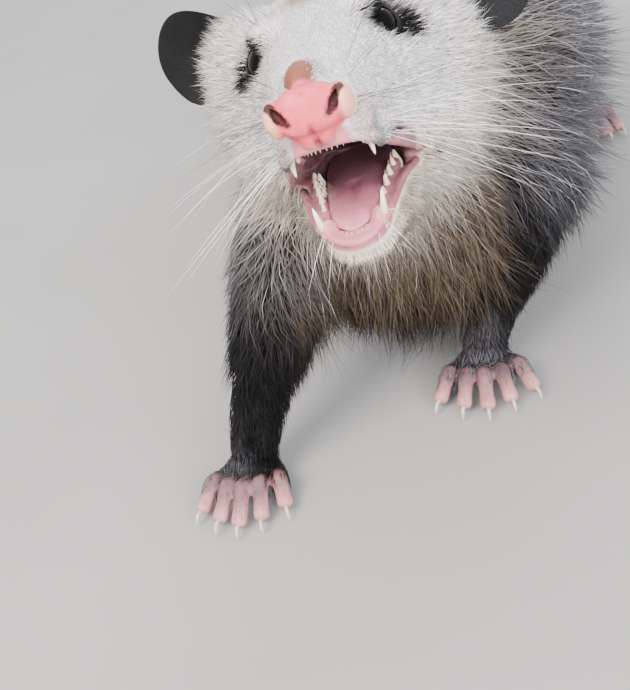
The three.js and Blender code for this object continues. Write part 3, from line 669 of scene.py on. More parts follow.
def hind_lines(side):
    """Thigh and shank of a hind leg; the knee points forwards and the heel rests low."""
    x = HIPS_MIDDLE
    thigh = [
        (x + side * 26, 348, 84, 20, 29, 29),
        (x + side * 40, 332, 60, 20, 26, 26),
        (x + side * 48, 316, 40, 13, 15, 15),
    ]
    shank = [
        (x + side * 48, 317, 42, 11, 12, 12),
        (x + side * 49, 330, 26, 9.5, 10.5, 10.5),
        (x + side * 47, 345, 12, 8, 7.5, 7.5),
    ]
    return thigh, shank


leg_lines = {
    "fore_leg_left": [fore_left_line],
    "fore_leg_right": [fore_right_line],
    "hind_leg_left": list(hind_lines(1)),
    "hind_leg_right": list(hind_lines(-1)),
}


def body_flesh():
    """Trunk, breast and legs, in the body's axes."""
    bm = bmesh.new()
    swept(bm, trunk_line, sides=36, rings=60, round_ends=(14, 8))
    swept(bm, breast_line, sides=28, rings=24, round_ends=(10, 8))
    for lines in leg_lines.values():
        for line in lines:
            swept(bm, line, sides=20, rings=28, round_ends=(10, 6))
    return object_of(bm, "skin")


skin = smoothed(melted(body_flesh(), 3.0), 8)
print("body skin has", len(skin.data.polygons), "faces")

# %% [markdown]
# ## Feet
#
# An opossum walks on naked, hand-like feet. A forefoot has five splayed toes with round tips
# and a small claw each; a hind foot has four and a broad thumb without a claw. A plan with
# the wrist, the heading and the reach of each toe gives all four.

# %% Plan the feet
TOE_RADIUS = 3.1
THUMB_RADIUS = 3.7


def foot_spot(plan, length, width, z):
    """A place on a foot: so far ahead of the wrist, so far to the animal's right, at height z."""
    turn = math.radians(plan["heading"])
    forward = Vector((-math.sin(turn), -math.cos(turn), 0))
    outward = Vector((-forward.y, forward.x, 0))
    place = Vector(plan["wrist"]) + length * forward + width * outward
    return Vector((place.x, place.y, z))


def fore_toes(inner, splay):
    """Five splayed toes, each with its root's place, its reach and its side at the tip."""
    toes = []
    for index in range(5):
        spread = (index - 2) / 2
        side = -inner * spread
        back, reach = 0.55 - 0.2 * spread**2, 32 - 8 * abs(spread) ** 1.6
        toes.append((back, 0.36 * side, reach, splay * side, TOE_RADIUS, True))
    return toes


def hind_toes(inner):
    """Four clawed toes and the broad thumb."""
    toes = []
    for index in range(4):
        spread = (index - 1.2) / 2
        side = -inner * spread
        back, reach = 0.85 - 0.1 * spread**2, 60 - 5 * spread**2
        toes.append((back, 0.36 * side, reach, 15 * side, TOE_RADIUS, True))
    toes.append((0.55, 0.3 * inner, 34, 23 * inner, THUMB_RADIUS, False))
    return toes


FORE_PALM = {"length": 15, "width": 25}
HIND_PALM = {"length": 36, "width": 23}
foot_plans = {
    "fore_foot_left": {"wrist": (88, 111, 8.5), "heading": -2, "toes": fore_toes(-1, 17.5), **FORE_PALM},
    "fore_foot_right": {"wrist": (5.5, 64, 8.5), "heading": 3, "toes": fore_toes(1, 15.5), **FORE_PALM},
    "hind_foot_left": {"wrist": (142, 349, 8.5), "heading": -10, "toes": hind_toes(-1), **HIND_PALM},
    "hind_foot_right": {"wrist": (48, 349, 8.5), "heading": 10, "toes": hind_toes(1), **HIND_PALM},
}


def toe_places(plan, toe):
    """Root, knuckle and tip of a toe; the knuckle is raised."""
    back, root_side, reach, tip_side, radius, _ = toe
    root = foot_spot(plan, back * plan["length"], root_side * plan["width"], 4.6)
    tip = foot_spot(plan, reach, tip_side, 2.9)
    knuckle = root.lerp(tip, 0.45) + Vector((0, 0, 0.2 * (tip - root).length))
    return root, knuckle, tip


def foot_flesh(name, plan):
    """A foot with its toes, their joints a little thicker than the lengths between them."""
    bm = bmesh.new()
    length, width = plan["length"], plan["width"]
    palm = [
        (*foot_spot(plan, 0, 0, plan["wrist"][2]), 0.33 * width, 7.0, 7.2),
        (*foot_spot(plan, 0.45 * length, 0, 5.8), 0.42 * width, 6.0, 6.2),
        (*foot_spot(plan, 0.8 * length, 0, 4.5), 0.43 * width, 4.2, 4.8),
    ]
    swept(bm, palm, sides=28, rings=24, round_ends=(5, 3.5))
    for toe in plan["toes"]:
        root, knuckle, tip = toe_places(plan, toe)
        r = toe[4]
        line = [
            (*root, 0.95 * r, 0.95 * r, 0.95 * r),
            (*root.lerp(knuckle, 0.6), 0.86 * r, 0.86 * r, 0.86 * r),
            (*knuckle, 1.0 * r, 1.04 * r, 0.98 * r),
            (*knuckle.lerp(tip, 0.45), 0.82 * r, 0.82 * r, 0.86 * r),
            (*tip, 1.0 * r, 0.84 * r, 0.92 * r),
        ]
        swept(bm, line, sides=16, rings=26, round_ends=(2, 2.8))
    foot = smoothed(melted(object_of(bm, name), 0.7), 3)
    for vertex in foot.data.vertices:
        vertex.co.z = max(vertex.co.z, 0.0)
    return foot


feet = [foot_flesh(name, plan) for name, plan in foot_plans.items()]
print("feet have", sum(len(foot.data.polygons) for foot in feet), "faces")

# %% [markdown]
# ## One skin
#
# Head, body and feet now become one closed mesh, so no seam can show where the fur is thin.
# The head is thinned first: a collapse keeps small faces on the lids and lips and spends
# fewer on the flat cheeks. The nostrils are cut after that, so that their thin edges stay.
# Then the head is turned into its pose and the parts are joined.

# %% Join the skin
SKIN_NODES = ["head", "lower_jaw", "nose", "neck", "torso", *leg_lines, *foot_plans]

finished(head_skin, ("DECIMATE", {"ratio": 0.36}))
joined_with(head_skin, cuts_in_the_nose(), "DIFFERENCE")
head_skin.data.transform(head_place)
joined_with(skin, head_skin, "UNION")
for foot in feet:
    finished(foot, ("DECIMATE", {"ratio": 0.45}))
    joined_with(skin, foot, "UNION")
print("the skin has", len(skin.data.polygons), "faces")

# %% [markdown]
# ## Teeth, tongue and eyes
#
# The gape shows a row of small pegs in front, four long canines and the pointed cheek teeth
# behind them. Each tooth is a short swept body that narrows to its tip, its root deep in the
# gum. A molar gets two more cusps beside the first. All stay one piece, as they share one
# enamel. The tongue is a flat swept body with a furrow down its middle, and each eye is a
# ball whose clear front bulges a little.

# %% Set the teeth
TOOTH_ROOT = 2.6


def tooth(bm, root, tip, radius, squeeze=1.0, curve=(0, 0, 0), matrix=Matrix()):
    """A tooth from its root to its tip. A squeeze under 1 makes it thin from side to side."""
    root, tip = Vector(root), Vector(tip)
    middle = root.lerp(tip, 0.55) + Vector(curve)
    line = [
        (*root, radius * squeeze, radius, radius),
        (*root.lerp(middle, 0.5), 1.02 * radius * squeeze, 1.04 * radius, 1.04 * radius),
        (*middle, 0.72 * radius * squeeze, 0.74 * radius, 0.74 * radius),
        (*tip, 0.13 * radius, 0.13 * radius, 0.13 * radius),
    ]
    place_verts(bm, swept(bm, line, sides=12, rings=14, round_ends=(0.4, 0.25)), matrix)


def row_of_teeth(bm, upper, matrix):
    """Incisors, canine, three premolars and three molars on each side of one jaw."""
    way = -1 if upper else 1
    gum, (_, front, front_gum) = (UPPER_GUM, UPPER_FRONT) if upper else (LOWER_GUM, LOWER_FRONT)
    row = UPPER_ROW if upper else LOWER_ROW
    root_z = gum - way * TOOTH_ROOT
    incisors, tallest = (5, 3.1) if upper else (4, 2.0)
    for side in (-1, 1):
        for index in range(incisors):
            x, y = side * (0.8 + 1.25 * index), front - 1.2 + 0.4 * index**2
            tip = (x * 1.02, y - 0.2, front_gum + way * (tallest + 0.1 * index))
            tooth(bm, (x, y, front_gum - way * TOOTH_ROOT), tip, 0.6, matrix=matrix)
        (x, ahead), *others = row
        long, lean, back = (6.4, 1.2, 1.6) if upper else (8.2, 2.6, 0.7)
        tip = (side * (x + lean), -ahead + back, gum + way * long)
        bow = (side * 0.4, -0.7 if upper else -0.9, 0)
        tooth(bm, (side * x, -ahead, root_z), tip, 1.45 if upper else 1.7, 0.85, bow, matrix)
        for index, (x, ahead) in enumerate(others):
            premolar = index < 3
            high = (1.6, 3.7, 4.3)[index] if premolar else 4.0 - 0.3 * (index - 3)
            wide = (1.4, 2.1, 2.4)[index] if premolar else 2.6
            root = (side * x, -ahead, root_z)
            tooth(bm, root, (side * x, -ahead + 0.2, gum + way * high), wide, 0.62, matrix=matrix)
            if not premolar:
                for shift, share in ((-1.5, 0.72), (1.6, 0.62)):
                    cusp = (side * (x - 1.1), -ahead + shift)
                    peak = (*cusp, gum + way * high * share)
                    tooth(bm, (*cusp, root_z), peak, 1.25, 0.9, matrix=matrix)


def dentition():
    """All teeth of both jaws."""
    bm = bmesh.new()
    row_of_teeth(bm, True, Matrix())
    row_of_teeth(bm, False, jaw_place)
    return object_of(bm, "teeth")


teeth = dentition()
print("teeth have", len(teeth.data.polygons), "faces")

# %% Lay the tongue
tongue_line = [
    (0, -50.6, -26.0, 3.8, 1.3, 1.8),
    (0, -44, -25.4, 6.0, 1.9, 2.6),
    (0, -31, -26.2, 8.0, 2.3, 3.4),
    (0, -16, -28.2, 9.4, 2.5, 3.6),
    (0, -2, -30.0, 10.2, 2.6, 3.6),
    (0, 12, -31.0, 9.4, 2.6, 3.6),
]
FURROW_DEPTH = 0.9
FURROW_WIDTH = 1.5


def tongue_flesh():
    """The tongue, its furrow pressed in along the middle of the upper face."""
    bm = bmesh.new()
    verts = swept(bm, tongue_line, sides=48, rings=64, round_ends=(5, 4))
    for vertex in verts:
        ahead = min(max((-vertex.co.y - 2) / 40, 0), 1)
        fade = math.sin(math.pi * min(ahead, 0.92)) ** 0.5
        fold = math.exp(-((vertex.co.x / FURROW_WIDTH) ** 2)) * fade
        if vertex.normal.z > 0:
            vertex.co.z -= FURROW_DEPTH * fold
    place_verts(bm, verts, jaw_place)
    return object_of(bm, "tongue_flesh")


tongue = tongue_flesh()

# %% Set the eyes
CORNEA_BULGE = 0.3


def eye(name, side):
    """A ball whose clear front bulges a little."""
    bm = bmesh.new()
    made = ball(bm, (0, 0, 0), (EYE_RADIUS,) * 3, 40, 28)
    for vertex in made:
        ahead = max(vertex.co.normalized().z - 0.4, 0) / 0.6
        vertex.co += vertex.co.normalized() * CORNEA_BULGE * ahead * ahead * (3 - 2 * ahead)
    place_verts(bm, made, eye_place(side))
    return object_of(bm, name)


eyes = {name: eye(name + "_ball", side) for name, side in (("eye_left", 1), ("eye_right", -1))}
print("eyes", [thing.name for thing in eyes.values()])

# %% [markdown]
# ## Ears, claws and tail
#
# The ears are thin naked leaves, cupped forwards and held out sideways. A ball pressed flat
# makes one, its rim left a little uneven. Claws are short curved spikes. The tail is bare
# apart from its root. Its scales lie in rings, so every vertex also remembers the place
# that it would have on a straight tail, and the pattern is drawn there.

# %% Shape the ears
EAR_LENGTH = 43.0
EAR_WIDTH = 33.0
EAR_THICKNESS = 1.5

# Side, angles backwards, outwards and about the upright in degrees, and the root
ear_holds = {"ear_left": (1, 10, 84, 5, (30, 33, -1)), "ear_right": (-1, -20, 80, 40, (28, 33, 3))}


def ear(name, side, backward, outward, turn, root):
    """A cupped leaf with folds at its root, in the head's axes."""
    bm = bmesh.new()
    made = bmesh.ops.create_uvsphere(bm, u_segments=96, v_segments=40, radius=1)["verts"]
    for vertex in made:
        x, level, y = vertex.co.x, 0.5 * (vertex.co.y + 1), vertex.co.z
        narrowing = 0.62 + 0.38 * math.sin(min(level * 1.9, 0.5 * math.pi))
        wide = x * 0.5 * EAR_WIDTH * narrowing
        high = EAR_LENGTH * level - 5
        cup = 0.022 * wide**2 * (1.1 - 0.6 * level) - 3.5 * level**2
        rim = math.hypot(vertex.co.x, vertex.co.y)
        ripple = 0.55 * math.sin(3.2 * vertex.co.x + 5 * level) * rim**4 * level
        fold = 1.3 * math.exp(-(((wide - side * 5) / 2.2) ** 2) - ((level - 0.22) / 0.2) ** 2)
        vein = 0.22 * math.sin(7 * x / (0.35 + level)) * (1 - rim**2)
        vertex.co = (wide, y * 0.5 * EAR_THICKNESS - cup + ripple - fold + vein, high)
    for axis, angle in (("X", -backward), ("Y", side * outward), ("Z", side * turn)):
        place_verts(bm, made, Matrix.Rotation(math.radians(angle), 4, axis))
    place_verts(bm, made, Matrix.Translation((side * root[0], root[1], root[2])))
    return object_of(bm, name)


ears = {name: ear(name + "_leaf", *hold) for name, hold in ear_holds.items()}
print("ears", [thing.name for thing in ears.values()])

# %% Set the claws
CLAW_LENGTH = 3.8
# Share of the length ahead of the toe's tip, height, half the width and half the depth
CLAW_STATIONS = ((-0.4, 3.4, 0.7, 0.7), (0.3, 4.2, 0.7, 0.8), (0.75, 3.0, 0.5, 0.6), (1.0, 1.0, 0.1, 0.14))


def claws_of_all_feet():
    """A curved claw on each toe that has one, its root in the tip's flesh."""
    bm = bmesh.new()
    for plan in foot_plans.values():
        for toe in plan["toes"]:
            if not toe[5]:
                continue
            _, knuckle, tip = toe_places(plan, toe)
            forward = Vector((tip.x - knuckle.x, tip.y - knuckle.y, 0)).normalized()
            line = []
            for ahead, z, wide, high in CLAW_STATIONS:
                place = tip + forward * ahead * CLAW_LENGTH
                line.append((place.x, place.y, z, wide, high, high))
            swept(bm, line, sides=10, rings=14, round_ends=(0.6, 0.3))
    return object_of(bm, "claws")


claws = claws_of_all_feet()
print("claws have", len(claws.data.polygons), "faces")

# %% Lay the tail
tail_line = [
    (102, 404, 60, 14.5, 14.5, 14.5),
    (105, 430, 31, 14, 14, 14),
    (108, 458, 14, 12.4, 12.4, 12.4),
    (112, 495, 10.6, 10.9, 10.9, 10.9),
    (119, 545, 8.8, 9.1, 9.1, 9.1),
    (124, 600, 7, 7.3, 7.3, 7.3),
    (121, 655, 5.2, 5.5, 5.5, 5.5),
    (110, 704, 3.4, 3.7, 3.7, 3.7),
]
SCALE_RING = 2.4
SCALE_RELIEF = 0.14


def tail_skin():
    """The tail, ringed, with each vertex's place on a straight tail kept in an attribute."""
    bm = bmesh.new()
    verts = swept(bm, tail_line, sides=36, rings=420, round_ends=(8, 6))
    places = np.array([v.co for v in verts])
    t = np.linspace(0, len(tail_line) - 1, 800)
    centre, side, up, _, _ = rings_of(tail_line, t)
    along = np.concatenate([[0], np.cumsum(np.linalg.norm(np.diff(centre, axis=0), axis=1))])
    tree = KDTree(len(t))
    for index, spot in enumerate(centre):
        tree.insert(spot, index)
    tree.balance()
    nearest = np.array([tree.find(place)[1] for place in places])
    off = places - centre[nearest]
    straight = np.stack(
        [(off * side[nearest]).sum(1), along[nearest], (off * up[nearest]).sum(1)],
        axis=1,
    )
    ring = SCALE_RELIEF * (np.abs(np.sin(math.pi * straight[:, 1] / SCALE_RING)) - 0.5)
    for vertex, out, rise in zip(verts, unit(off), ring):
        vertex.co += Vector(out * rise)
        vertex.co.z = max(vertex.co.z, 0)
    thing = object_of(bm, "tail_hide")
    kept = thing.data.attributes.new("straight", "FLOAT_VECTOR", "POINT")
    kept.data.foreach_set("vector", straight.ravel().astype(np.float32))
    return thing


tail = tail_skin()
print("tail has", len(tail.data.polygons), "faces")

# %% [markdown]
# ## Markings
#
# A Virginia opossum has a white face, cream cheeks, black smudges round the eyes, a brownish
# throat, dark woolly underfur with long silver hairs over it, and black legs. Each marking is
# an oval patch with a soft, uneven edge, painted over the ones before it. The skin and every
# hair ask the same function, so they always agree. Each patch has two colours: one for the
# wool near the skin and one for the tips.

# %% Paint the markings
HEAD_MIDDLE = np.array(EYES_MIDDLE)
head_axes = np.array(head_turn.to_3x3())


def to_head(places):
    """Places of the body's axes, in the head's axes."""
    return (places - HEAD_MIDDLE) @ head_axes


def wobble(places, size):
    """A smooth uneven value between about -1 and 1, whose waves are about that size."""
    x, y, z = (places / size).T
    value = np.sin(1.7 * x + 2.1 * np.sin(1.3 * y + 0.7))
    value = value + np.sin(1.9 * y - 1.6 * np.sin(1.1 * z + 2.0))
    return (value + np.sin(2.3 * z + 1.8 * np.sin(1.5 * x + 4.0))) / 3


def soft_step(value, low, high):
    """Rises smoothly from 0 at low to 1 at high."""
    share = np.clip((value - low) / (high - low), 0, 1)
    return share * share * (3 - 2 * share)


def rgb(code):
    """The linear red, green and blue of an sRGB colour, as an array."""
    return np.array(linear(code)[:3])


WOOL, TIPS = rgb("2b292b"), rgb("6b6a6d")

# Axes, middle, reach, softness of the edge, colour of the wool, colour of the tips
markings = [
    ("body", (95, 300, 150), (70, 150, 60), 0.5, "272526", "565456"),
    ("body", (64, 150, 106), (62, 50, 54), 0.4, "2a2728", "626063"),
    # Lower breast between the forelegs: dark brown fur, painted nearly black as shade under the chest
    ("body", (60, 104, 54), (58, 46, 31), 0.35, "161312", "2c2623"),
    ("body", (107, 135, 30), (26, 30, 46), 0.25, "0c0a0b", "161415"),
    ("body", (18, 78, 26), (26, 32, 46), 0.25, "0c0a0b", "161415"),
    ("body", (140, 330, 22), (30, 46, 44), 0.25, "0e0c0d", "181616"),
    ("body", (50, 330, 22), (30, 46, 44), 0.25, "0e0c0d", "181616"),
    ("head", (0, 46, -6), (52, 32, 42), 0.35, "70655a", "aea293"),
    ("head", (3, 14, -60), (36, 44, 26), 0.35, "3b3028", "756653"),
    ("head", (0, 6, -20), (52, 36, 38), 0.25, "d6c6b2", "f1e6d8"),
    ("head", (0, -12, -6), (48, 50, 32), 0.25, "fbefe9", "fffefc"),
    ("head", (0, -45, -46), (18, 28, 14), 0.25, "f0dfc6", "fbeed8"),
    ("head", (-2, 6, 15), (7, 12, 7), 0.5, "a8927f", "c4b19e"),
    ("head", (-1.4, -51.0, -5), (6.0, 7.0, 5.0), 0.5, "6a4738", "8f6a56"),
]
for side in (-1, 1):
    markings += [
        ("head", (side * 33, 35, 3), (11, 8, 10), 0.3, "131011", "1d191a"),
        ("head", (side * 11, -50, -20), (4.0, 7.0, 7.0), 0.5, "f6d2ca", "fdeae6"),
    ]
markings.append(("head", (15.0, -28, -28.6), (4.4, 9.0, 3.4), 0.3, "1d1613", "32271f"))

# The black smudge round each eye: balls along the slit of its lids
SMUDGE = [(-12.0, 3.4), (-8.0, 5.2), (-3.5, 6.6), (1.0, 6.8), (5.0, 5.0), (7.5, 3.4)]
for side in (-1, 1):
    for along, radius in SMUDGE:
        spot = eye_place(side) @ Vector((along, 0, EYE_RADIUS - 0.045 * along**2))
        markings.append(("head", tuple(spot), (radius, radius, radius), 0.3, "030303", "080706"))


def colours_at(places):
    """The colours of wool and tips at places on the body."""
    wool = np.tile(WOOL, (len(places), 1))
    tips = np.tile(TIPS, (len(places), 1))
    seen = {"body": places, "head": to_head(places)}
    uneven = 0.13 * wobble(places, 9.0) + 0.06 * wobble(places, 3.5)
    for axes, middle, reach, soft, wool_code, tips_code in markings:
        away = np.linalg.norm((seen[axes] - np.array(middle)) / np.array(reach), axis=1) + uneven
        share = 1 - soft_step(away, 1 - soft, 1 + soft)[:, None]
        wool = wool + share * (rgb(wool_code) - wool)
        tips = tips + share * (rgb(tips_code) - tips)
    return wool, tips


print(len(markings), "markings")

# %% [markdown]
# Some of the skin is bare: the nose, the lips, the rims of the eyes and the toes. Where the
# mouth is wet, the lining is mauve, with painted shade that darkens it towards the throat.
# These zones are measured as distances, such as that to the line of the lips, and kept as
# values from 0 to 1.

# %% Set the bounds of the bare zones
# Ellipsoids of bare skin on the head: their middle and reach
PAD_ZONE = ((0, -59.5, -14.2), (12.3, 7.8, 8.4))
BRIDGE_ZONE = ((-1.6, -52.2, -6.4), (5.0, 8.2, 5.4))
CORNER_ZONE = ((18.2, -4.0, -38.8), (5.4, 11.0, 5.4))
UNDER_NOSE_ZONE = ((0, -56.5, -22.6), (8.6, 5.6, 4.6))
MOUTH_ZONE = ((0, -14, -33), (22, 42, 13.5))
FRONT_LIP_ZONE = ((0, -53.0, -27.6), (6.4, 3.6, 3.2))
LIP_BREADTH = 2.8

# %% Search trees for the lips, gums and nostrils


def tree_of(places):
    """A search tree over some places."""
    tree = KDTree(len(places))
    for index, place in enumerate(places):
        tree.insert(place, index)
    tree.balance()
    return tree


def tree_along(line, place):
    """A search tree over many places along a line round the mouth, in the head's axes."""
    t = np.linspace(0, 2 * len(line) - 1, 240)
    return tree_of([place @ Vector(spot) for spot in through(both_sides(line), t)])


near_trees = [
    tree_along(upper_lip_line, Matrix()),
    tree_along(lower_lip_line, jaw_place),
    tree_along(upper_gum_line, Matrix()),
    tree_along(lower_gum_line, jaw_place),
]
left_nostril = through([station[:3] for station in nostril_line], np.linspace(0, 3, 30))
both_nostrils = [Vector((side * x, y, z)) for side in (-1, 1) for x, y, z in left_nostril]
near_trees.append(tree_of(both_nostrils))
near_trees.append(tree_of([Vector(spot) for spot in through(groove_line, np.linspace(0, 5, 50))]))
hollow_faces = [face.vertices for face in hollow_mesh.polygons]
hollow_tree = BVHTree.FromPolygons([v.co for v in hollow_mesh.vertices], hollow_faces)
print(len(near_trees), "search trees and one for the hollow")

# %% Measure the zones


def within(head, zone, low, high, side=1):
    """How far inside an ellipsoid places of the head's axes are: 1 inside, 0 outside."""
    middle, reach = np.array(zone[0]) * (side, 1, 1), np.array(zone[1])
    return 1 - soft_step(np.linalg.norm((head - middle) / reach, axis=1), low, high)


def bare_feet(places):
    """How much the skin of a foot is bare: the toes and soles are, and the wrists are not."""
    bare = np.zeros(len(places))
    for plan in foot_plans.values():
        turn = math.radians(plan["heading"])
        off = places - np.array(plan["wrist"])
        forward = off @ np.array((-math.sin(turn), -math.cos(turn), 0))
        around = np.linalg.norm(off[:, :2], axis=1) < 75
        hair_line = np.where(places[:, 2] > 4, 0.55 * plan["length"] + 5, -4)
        there = soft_step(forward + 1.5 * wobble(places, 4.0), hair_line - 3, hair_line + 5)
        bare = np.maximum(bare, there * around * (places[:, 2] < 16))
    return bare


def zones_at(places):
    """How far each bare zone holds, at places in the body's axes: 1 in it, 0 outside."""
    head = to_head(places)
    near = np.all(np.abs(head - np.array((0, -20, -25))) < np.array((30, 60, 50)), axis=1)
    away = np.full((6, len(places)), 99.0)
    inside = np.full(len(places), 99.0)
    for index in np.nonzero(near)[0]:
        place = Vector(head[index])
        away[:, index] = [tree.find(place)[2] for tree in near_trees]
        hit, normal, _, distance = hollow_tree.find_nearest(place)
        inside[index] = distance if (place - hit).dot(normal) > 0 else -distance
    upper_lip, lower_lip, upper_gum, lower_gum, nostrils, groove = away

    wet = np.maximum(1 - soft_step(inside, 0.3, 1.2), 1 - soft_step(lower_gum, 3.2, 4.2))
    above = (1 - soft_step(upper_gum, 2.0, 2.8)) * (1 - soft_step(inside, 0.8, 1.6))
    wet = np.maximum.reduce([wet, above, within(head, MOUTH_ZONE, 0.85, 1.0)])

    lip = 1 - soft_step(upper_lip, LIP_BREADTH - 0.5, LIP_BREADTH + 0.5)
    lip = lip * (1 - soft_step(inside, 1.3, 2.3))
    lip = np.maximum(lip, 1 - soft_step(lower_lip, 1.35, 2.0))
    front = np.array([jaw_place.inverted() @ Vector(place) for place in head])
    lip = np.maximum(lip, within(front, FRONT_LIP_ZONE, 0.8, 1.1))
    lip = np.maximum(lip, within(head, UNDER_NOSE_ZONE, 0.8, 1.05))

    rim = np.zeros(len(places))
    for side in (-1, 1):
        lip = np.maximum(lip, within(head, CORNER_ZONE, 0.7, 1.1, side))
        opening = np.array(eye_place(side) @ Vector((0, 0, EYE_RADIUS)))
        rim = np.maximum(rim, 1 - soft_step(np.linalg.norm(head - opening, axis=1), 4.8, 5.8))

    zones = {"wet": wet, "lip": lip, "rim": rim, "foot": bare_feet(places)}
    zones["pad"] = within(head, PAD_ZONE, 0.93, 1.03)
    zones["bridge"] = within(head + 0.9 * wobble(head, 1.6)[:, None], BRIDGE_ZONE, 0.6, 1.1)
    zones["bare"] = np.maximum.reduce(list(zones.values()))
    # The nostril mask also holds the groove between them at half strength, for painted shade
    groove_shade = 0.5 * (1 - soft_step(groove, 0.75, 1.1))
    zones["nostril"] = np.maximum(1 - soft_step(nostrils, 1.25, 1.6), groove_shade)
    return zones


# %% Read the skin and its zones


def arrays_of(thing):
    """Corners, triangles and normals of a mesh as arrays."""
    mesh = thing.data
    mesh.calc_loop_triangles()
    corners = np.empty(len(mesh.vertices) * 3)
    mesh.vertices.foreach_get("co", corners)
    normals = np.empty(len(mesh.vertices) * 3)
    mesh.vertices.foreach_get("normal", normals)
    triangles = np.empty(len(mesh.loop_triangles) * 3, int)
    mesh.loop_triangles.foreach_get("vertices", triangles)
    return corners.reshape(-1, 3), triangles.reshape(-1, 3), normals.reshape(-1, 3)


skin_corners, skin_triangles, skin_normals = arrays_of(skin)
skin_zones = zones_at(skin_corners)
print("bare share of the skin", round(float(skin_zones["bare"].mean()), 3))

# %% Tint the skin
LIP_PINK, LIP_DARK_AND_SHADE = rgb("dc8688"), rgb("96565f")
GUM_PINK, THROAT_SHADE = rgb("bd757e"), rgb("7d595e")
PAD_PINK, PAD_PALE, NOSTRIL_SHADE = rgb("db5660"), rgb("eaa48d"), rgb("140405")
BRIDGE_BROWN = rgb("7d4a39")
FOOT_PINK, FOOT_GREY, RIM_BLACK = rgb("b78280"), rgb("4c3e45"), rgb("010101")


def mixed(colour, other, share):
    """A colour mixed with another, each row by its own share."""
    return colour + share[:, None] * (other - colour)


def rising(colour, other, value, low, high):
    """Passes from one colour to another as a value rises from low to high."""
    return mixed(colour, other, soft_step(value, low, high))


def skin_colours(places, zones):
    """The colour of the skin: wool where it is furred, flesh where it is bare."""
    wool, _ = colours_at(places)
    uneven = 0.5 + 0.5 * wobble(places, 4.0)
    colour = mixed(wool, FOOT_PINK, zones["foot"])
    dorsal = zones["foot"] * soft_step(places[:, 2], 5.5, 9.5)
    colour = mixed(colour, FOOT_GREY, dorsal * (0.6 + 0.35 * uneven))
    brown = BRIDGE_BROWN * (0.5 + 0.5 * zones["bridge"][:, None])
    colour = mixed(colour, brown, zones["bridge"])
    head = to_head(places)
    # The lips are darker in random patches, and towards the sides of the mouth as painted shade
    tone_and_side_shade = np.maximum(0.5 * uneven, soft_step(np.abs(head[:, 0]), 5, 10))
    colour = mixed(colour, mixed(LIP_PINK, LIP_DARK_AND_SHADE, tone_and_side_shade), zones["lip"])
    # Painted shade: the wet lining passes from gum pink at the front to a dark mauve deep in the throat
    lining_and_shade = rising(GUM_PINK, THROAT_SHADE, head[:, 1], -44, -8)
    colour = mixed(colour, lining_and_shade * (0.85 + 0.3 * uneven[:, None]), zones["wet"])
    pad = rising(PAD_PINK, PAD_PALE, np.abs(head[:, 0]), 6.8, 9.2)
    colour = mixed(colour, pad, zones["pad"])
    # Painted shade: the nostrils, and at half strength the groove between them, are painted nearly black
    colour = mixed(colour, NOSTRIL_SHADE, 0.95 * zones["nostril"])
    return mixed(colour, RIM_BLACK, zones["rim"])


def keep_colours(thing, name, colours):
    """Keeps a colour for each vertex in an attribute."""
    layer = thing.data.attributes.new(name, "FLOAT_COLOR", "POINT")
    opaque = np.hstack([colours, np.ones((len(colours), 1))])
    layer.data.foreach_set("color", opaque.ravel().astype(np.float32))


def keep_values(thing, name, values):
    """Keeps a value for each vertex in an attribute."""
    layer = thing.data.attributes.new(name, "FLOAT", "POINT")
    layer.data.foreach_set("value", values.astype(np.float32))


keep_colours(skin, "tint", skin_colours(skin_corners, skin_zones))
skin_wet = np.maximum(skin_zones["wet"], 0.55 * skin_zones["pad"])
keep_values(skin, "wet", skin_wet * (1 - skin_zones["nostril"]))
keep_values(skin, "bare", skin_zones["bare"])
print("skin tinted")

# %% [markdown]
# ## The coat
#
# Real fur is a dense wool with longer guard hairs over it. Here it is solid mesh: thin
# tapered tufts with three sides, planted on the skin by the thousand. A groomer's plan says
# which way the hair lies, how long it is and how far it stands off, at some eighty places,
# and every hair takes a blend of the nearest ones. Each tuft walks along the skin in short
# steps in that direction, so it bends with the body as combed hair does. A way that points
# into the skin is first turned along it, or the hair would part on every ridge.
#
# The tuft itself is one small cone, cut into rings once. Its copies are placed with arrays,
# because tens of thousands of separate objects would be far too slow.

